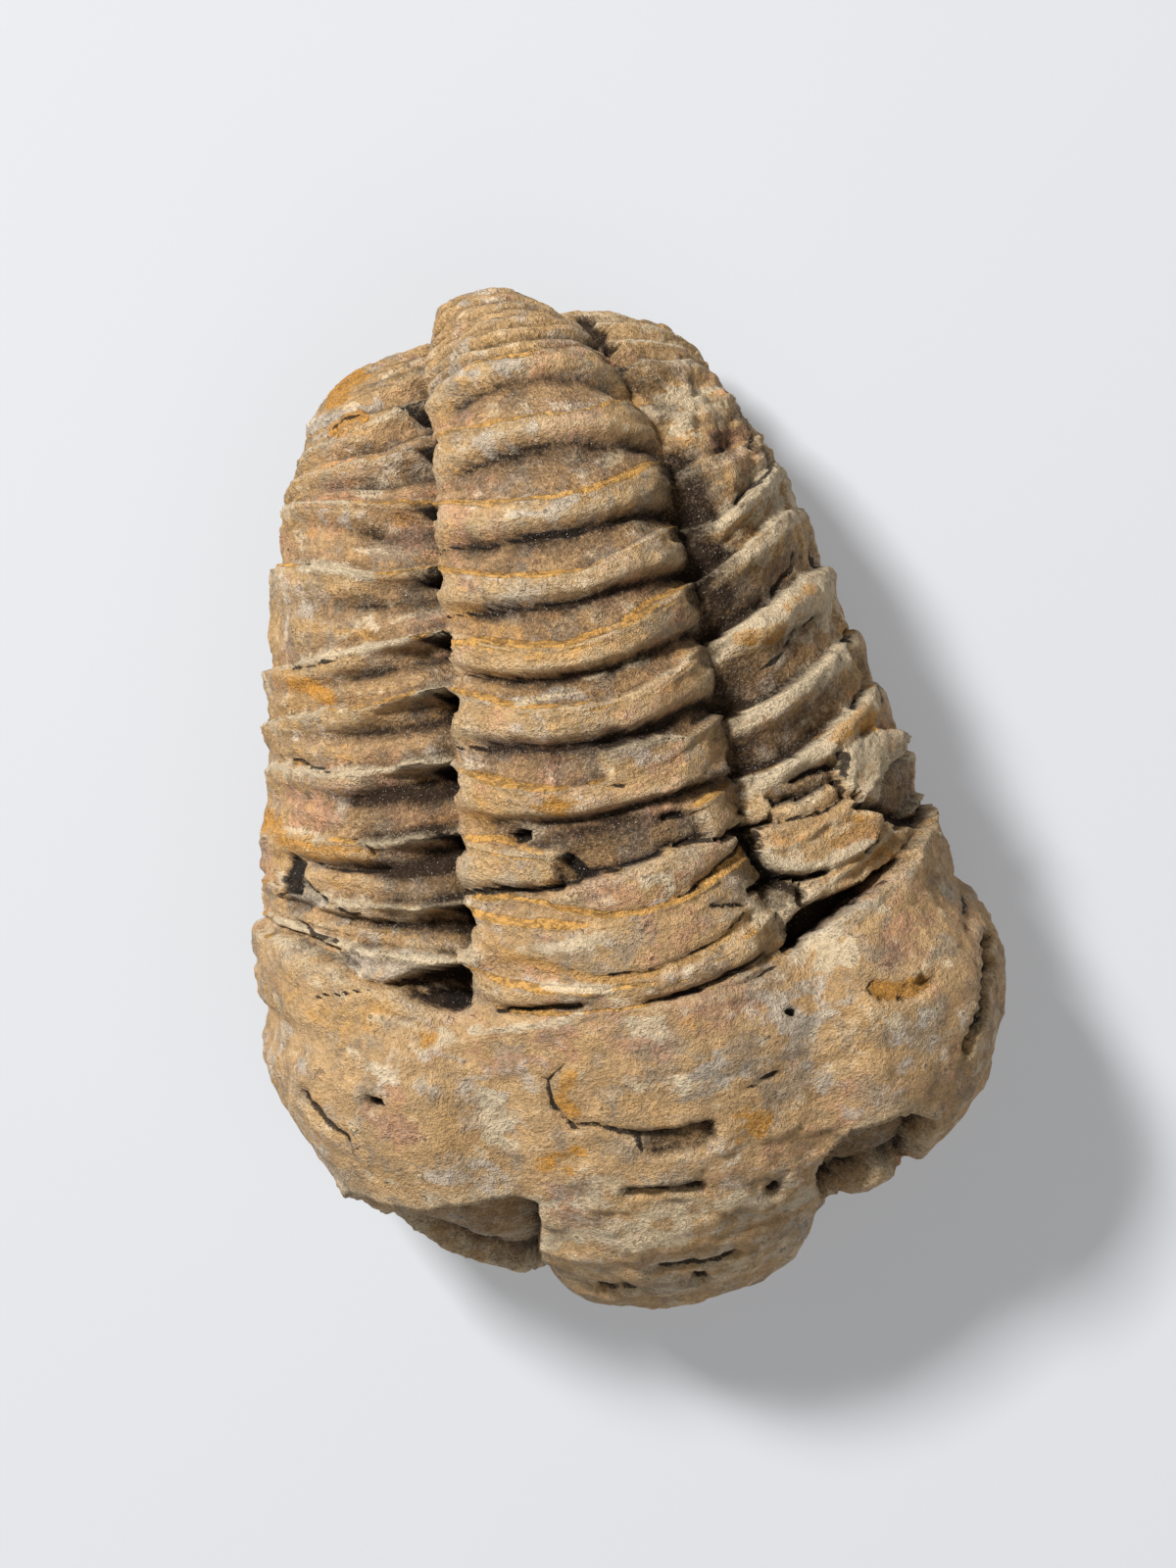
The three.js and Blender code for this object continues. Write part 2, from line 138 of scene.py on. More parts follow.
LOBE_FADE_RIGHT = [
    (-26, 0.6), (-20, 1.6), (-1, 1.8), (1.4, 0.85), (38, 0.8), (42, 1.1), (62, 1.2),
]
BELLY_SQUARENESS = 2.6

# Mesh rows of the head and tail as (t, rows up to it), rows in a segment, and columns
HEAD_ROWS = [(-39.0, 0), (-30.0, 14), (-24.0, 14), (-0.25, 76)]
SEGMENT_ROWS = 17
TAIL_ROWS = [(50.9, 0), (56.0, 16), (62.6, 7)]
BACK_COLUMNS = 240
BELLY_COLUMNS = 48
LIP_CROWDING = 0.15
# How often the normals are smoothed that deep relief follows, and how often the skin is smoothed to
# find its sunken places, which get painted shade, and its raised edges, which get wear and a painted
# highlight
NORMAL_BLURS = 150
SHADE_AND_WEAR_BLURS = 12


def smoothstep(x, low, high):
    """0 below low, 1 above high, and a smooth rise between."""
    s = np.clip((x - low) / (high - low), 0.0, 1.0)
    return s * s * (3.0 - 2.0 * s)


def lerp(a, b, share):
    """The value that lies a share of the way from a to b."""
    return a + (b - a) * share


def hump(x, width):
    """1 where x is 0, falling smoothly to 0 within about twice the width on both sides."""
    return np.exp(-((x / width) ** 2))


def along(pairs, x):
    """Value at x on straight lines between (x, value) pairs."""
    places, values = np.array(pairs, float).T
    return np.interp(x, places, values)


def smooth_curve(rows, x, column=1):
    """Value at x on a smooth curve through rows of (x, ...), reading the given column."""
    place, value = rows[:, 0], rows[:, column]
    slope = np.empty_like(value, float)
    slope[1:-1] = (value[2:] - value[:-2]) / (place[2:] - place[:-2])
    slope[0] = (value[1] - value[0]) / (place[1] - place[0])
    slope[-1] = (value[-1] - value[-2]) / (place[-1] - place[-2])
    x = np.clip(x, place[0], place[-1])
    i = np.clip(np.searchsorted(place, x, side="right") - 1, 0, len(place) - 2)
    width = place[i + 1] - place[i]
    s = (x - place[i]) / width
    rise = value[i + 1] - value[i]
    entry = slope[i] * width - rise
    leave = rise - slope[i + 1] * width
    return value[i] + s * rise + s * (1 - s) * ((1 - s) * entry + s * leave)


def plain_section(t, angle):
    """Points of the plain sections, and the up direction and half widths of each."""
    back_y, back_z, belly_y, belly_z, left, right, share, square = (
        smooth_curve(SECTIONS, t, column) for column in range(1, 9)
    )
    height = np.hypot(back_y - belly_y, back_z - belly_z)
    up = np.stack([0 * t, (back_y - belly_y) / height, (back_z - belly_z) / height], -1)
    c, s = np.cos(angle), np.sin(angle)
    power = np.where(s >= 0, square, BELLY_SQUARENESS)
    half_width = np.where(c < 0, left, right)
    half_height = height * np.where(s >= 0, 1 - share, share)
    across = np.sign(c) * np.abs(c) ** (2 / power)
    upward = np.sign(s) * np.abs(s) ** (2 / power)
    point = np.stack([across * half_width, belly_y, belly_z], -1)
    point = point + up * (height * share + upward * half_height)[..., None]
    return point, up, left, right


def across_body(t, x, left, right):
    """Place across the body: 0 to 1 from the midline to a furrow, then 0 to 1 to the rim."""
    furrow_left, furrow_right = smooth_curve(FURROW_LEFT, t), smooth_curve(FURROW_RIGHT, t)
    middle = (furrow_left + furrow_right) / 2
    lobe_half = (furrow_right - furrow_left) / 2
    on_left = x < middle
    furrow = np.where(on_left, furrow_left, furrow_right)
    rim = np.where(on_left, -left, right)
    flank = np.clip((x - furrow) / (rim - furrow), 0, 1)
    return (x - middle) / lobe_half, flank, lobe_half


def line_shift(t, side, flank):
    """How far tailward the line that crosses the midline at t has moved at this place."""
    sweep, power, sag = (
        np.where(side < 0, smooth_curve(RIB_LINES, t, i), smooth_curve(RIB_LINES, t, i + 3))
        for i in (1, 2, 3)
    )
    bow = along(RING_BOW, t) * np.minimum(np.abs(side), 1) ** BOW_POWER
    return bow + sweep * flank ** power - sag * np.sin(np.pi * flank)


def grid_normals(points):
    """Outward unit normals of a grid of points whose columns close on themselves."""
    along_t = np.gradient(points, axis=0)
    around = np.roll(points, -1, axis=1) - np.roll(points, 1, axis=1)
    normal = np.cross(along_t, around)
    return normal / np.maximum(np.linalg.norm(normal, axis=-1, keepdims=True), 1e-9)


def blurred(grid, times):
    """The grid after it is smoothed a number of times along its rows and round its columns."""
    for _ in range(times):
        padded = np.concatenate([grid[:1], grid, grid[-1:]])
        grid = (padded[:-2] + 2 * grid + padded[2:]) / 4
        grid = (np.roll(grid, 1, axis=1) + 2 * grid + np.roll(grid, -1, axis=1)) / 4
    return grid


def plan_place(points):
    """Where points are seen from PLAN_EYE straight above, on the level PLAN_LEVEL."""
    scale = (PLAN_EYE - PLAN_LEVEL) / (PLAN_EYE - points[..., 2])
    x = PLAN_CENTRE[0] + (points[..., 0] - PLAN_CENTRE[0]) * scale
    y = PLAN_CENTRE[1] + (points[..., 1] - PLAN_CENTRE[1]) * scale
    return x, y


# ------------------------------------------------------------------------ noise and marks

# Three tints paint light and shade: one puts painted shade, with some grime, in grooves, pits, holes
# and recesses, one draws painted shadow lines in cracks, holes and under band edges, and one lightens
# raised edges with wear and a painted highlight
TINTS = ("band", "hollow", "gold", "amber", "cream", "slate", "rust", "head", "worn", "edge",
         "crack")
# How far a thin line's tint reaches past its half width
LINE_SIDE = 0.6
# Odd multipliers that stir the corners of the noise's cells
STIR = (374761393, 668265263, 1440662683, 362437)
STIR_AGAIN = (1274126177, 2246822519)
LOW_BITS = 0xFFFFFFFF


def lattice_noise(points, seed):
    """Smooth noise from -1 to 1, with one bump to each unit of the points' space."""
    cell = np.floor(points).astype(np.int64)
    part = points - cell
    part = part * part * (3 - 2 * part)
    total = 0
    for corner in np.ndindex(2, 2, 2):
        x, y, z = (cell[..., axis] + corner[axis] for axis in range(3))
        mixed = (x * STIR[0] + y * STIR[1] + z * STIR[2] + seed * STIR[3]) & LOW_BITS
        mixed = ((mixed ^ (mixed >> 13)) * STIR_AGAIN[0]) & LOW_BITS
        mixed = ((mixed ^ (mixed >> 16)) * STIR_AGAIN[1]) & LOW_BITS
        weight = 1
        for axis in range(3):
            weight = weight * (part[..., axis] if corner[axis] else 1 - part[..., axis])
        total = total + weight * (mixed / LOW_BITS * 2 - 1)
    return total


def rough(points, size, seed, octaves=3):
    """Layered noise whose largest bumps are about the given size across."""
    return sum(
        lattice_noise(points * (2 ** i / size) + 17.3 * i, seed + i) * 0.55 ** i
        for i in range(octaves)
    )


def line_distance(x, y, points):
    """Distance from each plan place to a line through points."""
    nearest = np.full_like(x, 1e9)
    for (ax, ay), (bx, by) in zip(points, points[1:]):
        dx, dy = bx - ax, by - ay
        share = np.clip(((x - ax) * dx + (y - ay) * dy) / (dx * dx + dy * dy), 0, 1)
        nearest = np.minimum(nearest, np.hypot(x - ax - share * dx, y - ay - share * dy))
    return nearest


def outline_distance(x, y, points):
    """Distance from each plan place to a closed outline, positive inside it."""
    closed = list(points) + [points[0]]
    inside = np.zeros(x.shape, bool)
    for (ax, ay), (bx, by) in zip(closed, closed[1:]):
        if ay != by:
            crosses = ((ay > y) != (by > y)) & (x < ax + (y - ay) * (bx - ax) / (by - ay))
            inside ^= crosses
    return np.where(inside, 1, -1) * line_distance(x, y, closed)


class Skin:
    """The stone's skin while it is sculpted: where each point lies, its height and its tints."""

    def __init__(self, lines, angles):
        t, angle = np.meshgrid(lines, angles, indexing="ij")
        point, _, left, right = plain_section(t, angle)
        side, flank, _ = across_body(t, point[..., 0], left, right)
        upper = smoothstep(np.sin(angle), -0.6, 0)
        moved = t + line_shift(t, side, flank) * upper
        point, up, left, right = plain_section(moved, angle)
        self.t = t
        self.side, self.flank, lobe_half = across_body(moved, point[..., 0], left, right)
        self.lobe = np.abs(self.side)
        self.out = (self.lobe - 1) * lobe_half
        square = np.where(self.side < 0, along(LOBE_SQUARENESS_LEFT, moved),
                          along(LOBE_SQUARENESS_RIGHT, moved))
        fade = np.where(self.side < 0, along(LOBE_FADE_LEFT, moved), along(LOBE_FADE_RIGHT, moved))
        arch = np.maximum(1 - self.lobe ** square, 0) ** fade
        narrow, wide = FURROW_HALF_WIDTH
        on_right = (self.side > 0) & (self.lobe > 1)
        valley = hump(self.out, np.where(on_right, wide, narrow))
        valley = valley * along(FURROW_DEPTH, moved) * np.where(on_right, RIGHT_FURROW_SHARE, 1)
        on_back = smoothstep(np.sin(angle), -0.05, 0.1)
        lobe_height = along(LOBE_HEIGHT, moved) * arch
        self.base = point + up * ((lobe_height - valley) * on_back)[..., None]
        self.normal = grid_normals(self.base)
        broad = blurred(self.normal, NORMAL_BLURS)
        self.out_of_body = broad / np.maximum(np.linalg.norm(broad, axis=-1, keepdims=True), 1e-9)
        self.back = smoothstep(np.sin(angle), -0.4, 0.1)
        self.seen = self.back * smoothstep(self.normal[..., 2], -0.02, 0.06)
        self.flow = np.stack([point[..., 0], t, (point * up).sum(-1)], -1)
        self.height = np.zeros_like(t)
        self.relief = np.zeros_like(t)
        self.tint = {name: np.zeros_like(t) for name in TINTS}

    def draw(self, tint, distance, half_width, strength=1.0):
        """Keeps how near a thin line is: 1 or more on the line, falling to 0 at its sides."""
        near = np.clip(1 - (distance - half_width) / LINE_SIDE, 0, 1.5) * strength
        self.tint[tint] = np.maximum(self.tint[tint], near)

    def mark(self, tint, amount):
        """Adds to a tint, which stays from 0 to 1."""
        self.tint[tint] = np.clip(self.tint[tint] + amount, 0, 1)

    def points(self):
        """The finished skin, no lower than the surface it rests on."""
        done = self.base + self.out_of_body * self.relief[..., None]
        done = done + self.normal * self.height[..., None]
        done[..., 2] = np.maximum(done[..., 2], 0)
        return done


# --------------------------------------------------------------------- rings, ribs, slab

# Where the dark groove crosses each segment, at the midline and at the two sides of the lobe,
# how deep it is, and the share of the rings' relief that is worn off at their left ends
GROOVE_PLACE = np.array([0.02, 0.4, 0.5, 0.45, 0.52, 0.5, 0.6, 0.6, 0.72, 0.74, 0.45, 0.45, 0.45])
GROOVE_PLACE_AT_SIDE = (0.24, 0.2)
GROOVE_DEPTH = np.array([0.4, 0.5, 0.6, 1.3, 1.5, 1.5, 1.5, 1.35, 1.1, 0.95, 0.2, 0.15, 0.1])
LEFT_END_WEAR = 0.55
# (place, relief) pairs through the front and the rear of a ring, and through a rib
HALF_RING = [(0, -0.55), (0.1, -0.64), (0.5, -0.76), (0.8, -0.9), (0.93, -1), (1, -1)]
RING_BAND = [(0, -1), (0.09, -0.75), (0.2, -0.2), (0.32, -0.02), (0.6, 0.03), (1, 0)]
RIB_LEFT_INNER = [
    (0, -0.3), (0.3, -0.7), (0.5, -1.2), (0.7, -1.7), (0.85, -1.6), (0.94, -0.8), (0.975, -0.1),
    (1, 0),
]
RIB_LEFT_OUTER = [
    (0, -0.3), (0.07, -0.75), (0.15, -0.8), (0.28, -0.55), (0.42, -0.6), (0.52, -1.1), (0.62, -1.15),
    (0.72, -0.35), (0.8, -0.05), (1, 0),
]
RIB_RIGHT = [
    (0, -1.5), (0.05, -1.6), (0.12, -1.5), (0.3, -1.15), (0.55, -0.65), (0.64, -0.15), (0.7, 0.25),
    (0.82, 0.25), (0.94, 0.1), (1, -0.4),
]
# (flank, share) pairs end in OUT, and (t, share) pairs in SIZE or ALONG
RIB_LEFT_OUT = [(0, 1), (0.4, 1), (0.55, 0.8), (0.7, 0.5), (1, 0.15)]
RIB_LEFT_SIZE = [(0, 1.5), (8, 1.4), (36, 1.2), (44.4, 0.6), (44.6, 0)]
RIM_STEP_SIZE = [(12, 0), (20, 1), (36, 1), (42, 0)]
RIB_RIGHT_OUT = [(0, 0.8), (0.2, 1), (0.6, 0.9), (0.8, 0.45), (1, 0.3)]
RIB_RIGHT_SIZE = [(0, 0.8), (18, 0.95), (22, 0.6), (26, 0.5), (32, 0.4), (44.4, 0.4), (51, 0.2)]
# Where painted shade lies on the ribs: under the left lips, and on the right ribs' slopes that face
# away from the key light
LEFT_SHADE_OUT = [(0, 1), (0.4, 1), (0.55, 0.5), (0.75, 0.1), (1, 0)]
LEFT_SHADE_ALONG = [(1.4, 1), (16, 0.95), (20, 0.8), (26, 0.7), (44, 0.6)]
RIGHT_SHADE = [(0, 1), (0.5, 1), (0.66, 0.4), (0.72, 0), (1, 0)]
RIGHT_SHADE_OUT = [(0, 1), (0.4, 1), (0.65, 0.6), (0.85, 0.1), (1, 0)]
RIGHT_SHADE_ALONG = [(20, 0.55), (28, 0.2), (44, 0.15)]
# (t, half width) pairs of the golden edge of a lip, and the t past which lips have none
EDGE_WIDTH = [(4, 0.08), (20, 0.08), (27, 0.18), (31, 0.2), (36, 0.13), (42, 0.08)]
LAST_LIP = 40.8
# Outline of the pit under a lip, as distance out from the furrow and tailward from the lip
PIT = [(-0.7, -0.1), (2.0, -0.2), (1.1, -0.7), (0.4, -1.4), (-0.2, -1.7), (-0.8, -1)]
PIT_DEPTH = 1.1
# t of the lips of the tail's fine rings, and (place, relief) pairs through one
TAIL_RINGS = np.array([40.4, 41.6, 42.8, 44.0, 45.2, 46.5, 47.8, 49.1, 50.5, 52.0, 53.5])
TAIL_RING = [(0, -0.2), (0.35, -0.34), (0.6, -0.07), (0.8, 0), (1, 0)]


def segment_of(t, lines=LIPS):
    """Index of the segment that t lies in, how far through it, and where there is one."""
    index = np.clip(np.searchsorted(lines, t, side="right") - 1, 0, len(lines) - 2)
    place = (t - lines[index]) / (lines[index + 1] - lines[index])
    return index, np.clip(place, 0, 1), (t > lines[0]) & (t < lines[-1])


class Segments:
    """Where each point of the skin lies in its ring or rib."""

    def __init__(self, skin):
        wander = 0.25 * rough(skin.flow * (1, 1.4, 1), 6.0, 11) + 0.07 * rough(skin.flow, 1.0, 13)
        self.t = skin.t + wander
        self.index, self.place, self.inside = segment_of(self.t)
        self.length = np.diff(LIPS)[self.index]
        self.shell = rough(skin.flow * (0.6, 1, 1), 3.0, 23)
        self.on_rib = smoothstep(skin.lobe, 0.95, 1.04)
        at_side = np.where(skin.side < 0, *GROOVE_PLACE_AT_SIDE)
        outward = np.minimum(skin.lobe, 1) ** BOW_POWER
        self.groove = lerp(GROOVE_PLACE[self.index], at_side, outward)
        self.kept = 1 - LEFT_END_WEAR * smoothstep(-skin.side, 0.7, 0.95)
        self.knob = hump(skin.side + 0.86, 0.13) * hump(self.place - 0.55, 0.3)


def ring_form(seg):
    """Relief of the rings on the middle lobe, with a knob at the left end of each."""
    half_ring = along(HALF_RING, seg.place / seg.groove)
    band = along(RING_BAND, (seg.place - seg.groove) / (1 - seg.groove))
    ring = np.where(seg.place < seg.groove, half_ring, band) * GROOVE_DEPTH[seg.index]
    return ring * seg.kept + 0.45 * seg.knob * smoothstep(-seg.t, -44, -40)


def rib_form(skin, seg):
    """Relief of the ribs on both flanks."""
    place, flank = seg.place, skin.flank
    inner, outer = along(RIB_LEFT_INNER, place), along(RIB_LEFT_OUTER, place)
    left = lerp(inner, outer, smoothstep(flank, 0.15, 0.55))
    left *= along(RIB_LEFT_OUT, flank) * along(RIB_LEFT_SIZE, seg.t)
    left -= 0.6 * np.maximum(1 - flank / 0.5, 0) ** 1.5
    left += 0.7 * hump((1 - place) * seg.length, 0.4) * hump(skin.out, 1.5)
    left += 0.7 * (place - 0.5) * smoothstep(flank, 0.6, 0.9) * along(RIM_STEP_SIZE, seg.t)
    right = along(RIB_RIGHT, place) * along(RIB_RIGHT_OUT, flank) * along(RIB_RIGHT_SIZE, seg.t)
    return np.where(skin.side < 0, left, right)


def draw_lips(skin, seg):
    """Thin proud golden edges of shell along the lips, partly painted highlight on the lit step of each
    lip, and a painted shadow line in each deep groove.
    """
    shell, on_rib = seg.shell, seg.on_rib
    on_back = (seg.inside & (seg.t < LAST_LIP)) * skin.seen
    rear, front = (1 - seg.place) * seg.length, seg.place * seg.length
    lip = np.minimum(rear, front)
    crest = hump(lip, lerp(0.2, 0.35, on_rib * (skin.side < 0))) * on_back
    whole = smoothstep(shell, -0.5, -0.1) * on_back
    rib_crest = lerp(1.3, 0.1, smoothstep(skin.flank, 0.4, 0.9))
    skin.height += 0.22 * crest * lerp(whole, rib_crest, on_rib)
    golden = np.where(on_rib > 0.5, smoothstep(shell, -0.1, 0.3), whole)
    width = lerp(along(EDGE_WIDTH, skin.t) + 0.12 * shell, 0.05, on_rib)
    skin.draw("edge", lip, width, golden * on_back)
    skin.mark("cream", 0.9 * on_rib * crest * smoothstep(-shell, -0.5, 0.1))
    second = np.abs(rear - 0.55 - 0.2 * shell)
    doubled = smoothstep(-shell, -0.1, 0.2) * on_back * (1 - on_rib)
    skin.draw("edge", second, 0, doubled * 0.95)
    skin.height += 0.08 * hump(second, 0.15) * doubled
    # A painted shadow line just below the band edge in each deep groove
    under = np.abs((seg.groove - seg.place) * seg.length - 0.1)
    deep = smoothstep(-skin.side, -0.75, -0.2) * (GROOVE_DEPTH[seg.index] > 1.3) * on_back
    skin.draw("crack", under, 0.08 + 0.12 * shell, deep * (1 - on_rib))


def shade_segments(skin, seg, ring, relief):
    """Painted shade, with some grime, in the grooves of rings and ribs, the band colour on what stands
    out and the darker half-ring colour, partly painted shade, below it, and painted light on the right
    ribs' plates.
    """
    place, flank, inside = seg.place, skin.flank, seg.inside
    # Raised parts take the band colour, lower parts the darker half-ring colour, which is partly
    # painted shade
    skin.mark("band", np.where(inside, smoothstep(relief, -0.7, -0.2), 1))
    # Painted shade under each left lip and down the rib, deepest near the furrow
    left = 0.85 * hump(place - 0.57, 0.14) + 0.5 * hump(place - 0.1, 0.09)
    left *= along(LEFT_SHADE_OUT, flank)
    left += 0.3 * smoothstep(-flank, -0.3, -0.05) * smoothstep(-place, -0.95, -0.85)
    left *= along(LEFT_SHADE_ALONG, seg.t)
    # Painted shade on the right ribs' slopes that face away from the key light, and near the furrow
    right = along(RIGHT_SHADE, place) * along(RIGHT_SHADE_OUT, flank)
    right *= along(RIGHT_SHADE_ALONG, seg.t)
    right += 0.15 * smoothstep(-flank, -0.25, -0.05)
    # Painted shade on the half rings in the shadow of the bands, and on the bands' lower fall
    half_ring = 0.22 + 0.36 * smoothstep(place / seg.groove, 0.2, 0.9)
    middle = np.where(place < seg.groove, half_ring, 0.5 * smoothstep(-ring, 0.6, 1.2))
    middle *= smoothstep(GROOVE_DEPTH[seg.index], 0.3, 1.2) * seg.kept
    dirt_and_shade = lerp(middle, np.where(skin.side < 0, left, right), seg.on_rib)
    skin.mark("hollow", dirt_and_shade * inside)
    # Painted light: the right ribs' plates that face the key light are made lighter with the head
    # colour and cream
    plate = smoothstep(place, 0.66, 0.76) * seg.on_rib * (skin.side > 0) * skin.seen * inside
    skin.mark("head", plate)
    skin.mark("cream", 0.45 * plate)
    skin.mark("head", 0.6 * smoothstep(-seg.t, -8, -6))
    skin.mark("gold", 0.7 * seg.knob * smoothstep(seg.shell, -0.4, 0.2) * inside * skin.seen)


def sculpt_rings(skin):
    """The rings of the middle lobe and their ribs."""
    seg = Segments(skin)
    ring = ring_form(seg)
    relief = lerp(ring, rib_form(skin, seg), seg.on_rib) * seg.inside
    skin.relief += relief * skin.back
    draw_lips(skin, seg)
    shade_segments(skin, seg, ring, relief)


def sculpt_pits(skin):
    """A dark pit at the inner end of each rib, under its lip, cut down and filled with painted shadow.
    """
    for lip in LIPS[2:11]:
        behind = skin.t - lip - along([(30, 0), (40, 0.3)], lip)
        behind = behind + 0.15 * rough(skin.base, 1.0, 27)
        within = outline_distance(skin.out, behind, PIT)
        pit = smoothstep(within, -0.1, 0.2) * skin.back * np.where(skin.side < 0, 1, 0.3)
        skin.relief -= PIT_DEPTH * pit
        skin.mark("hollow", pit)
        skin.draw("crack", np.maximum(-within, 0), 0, (skin.side < 0) * skin.seen)


def sculpt_tail(skin):
    """Fine rings round the small tail plate beyond the last full segment, with painted shade in their
    grooves and in the scallops by the furrow.
    """
    _, place, inside = segment_of(skin.t + 0.1 * rough(skin.flow, 3.0, 29), TAIL_RINGS)
    ring = along(TAIL_RING, place) * inside * (1 - 0.8 * smoothstep(skin.lobe, 0.9, 1.1))
    skin.height += ring
    scallop = hump(skin.side - 0.95, 0.1) * (ring < -0.1) * skin.seen
    skin.relief -= 0.5 * scallop
    skin.mark("hollow", -1.5 * ring + 0.8 * scallop)


def sculpt_slab(skin):
    """The slab over the head, smoothed by wear: it stands above the ribs behind it and ends in a rough
    edge.
    """
    t = skin.t - 0.4 * rough(skin.base, 4.0, 31) - 0.15 * rough(skin.base, 1.0, 37)
    on_cheek = smoothstep(skin.flank, 0, 0.3) * (1 - 0.75 * smoothstep(skin.flank, 0.7, 1))
    slab = smoothstep(-t, 0, 0.2)
    skin.relief += lerp(0.3, 1.6, on_cheek) * slab * smoothstep(skin.t, -24, -14)
    skin.mark("head", slab)


# --------------------------------------------------------------- breaks, cracks and stains

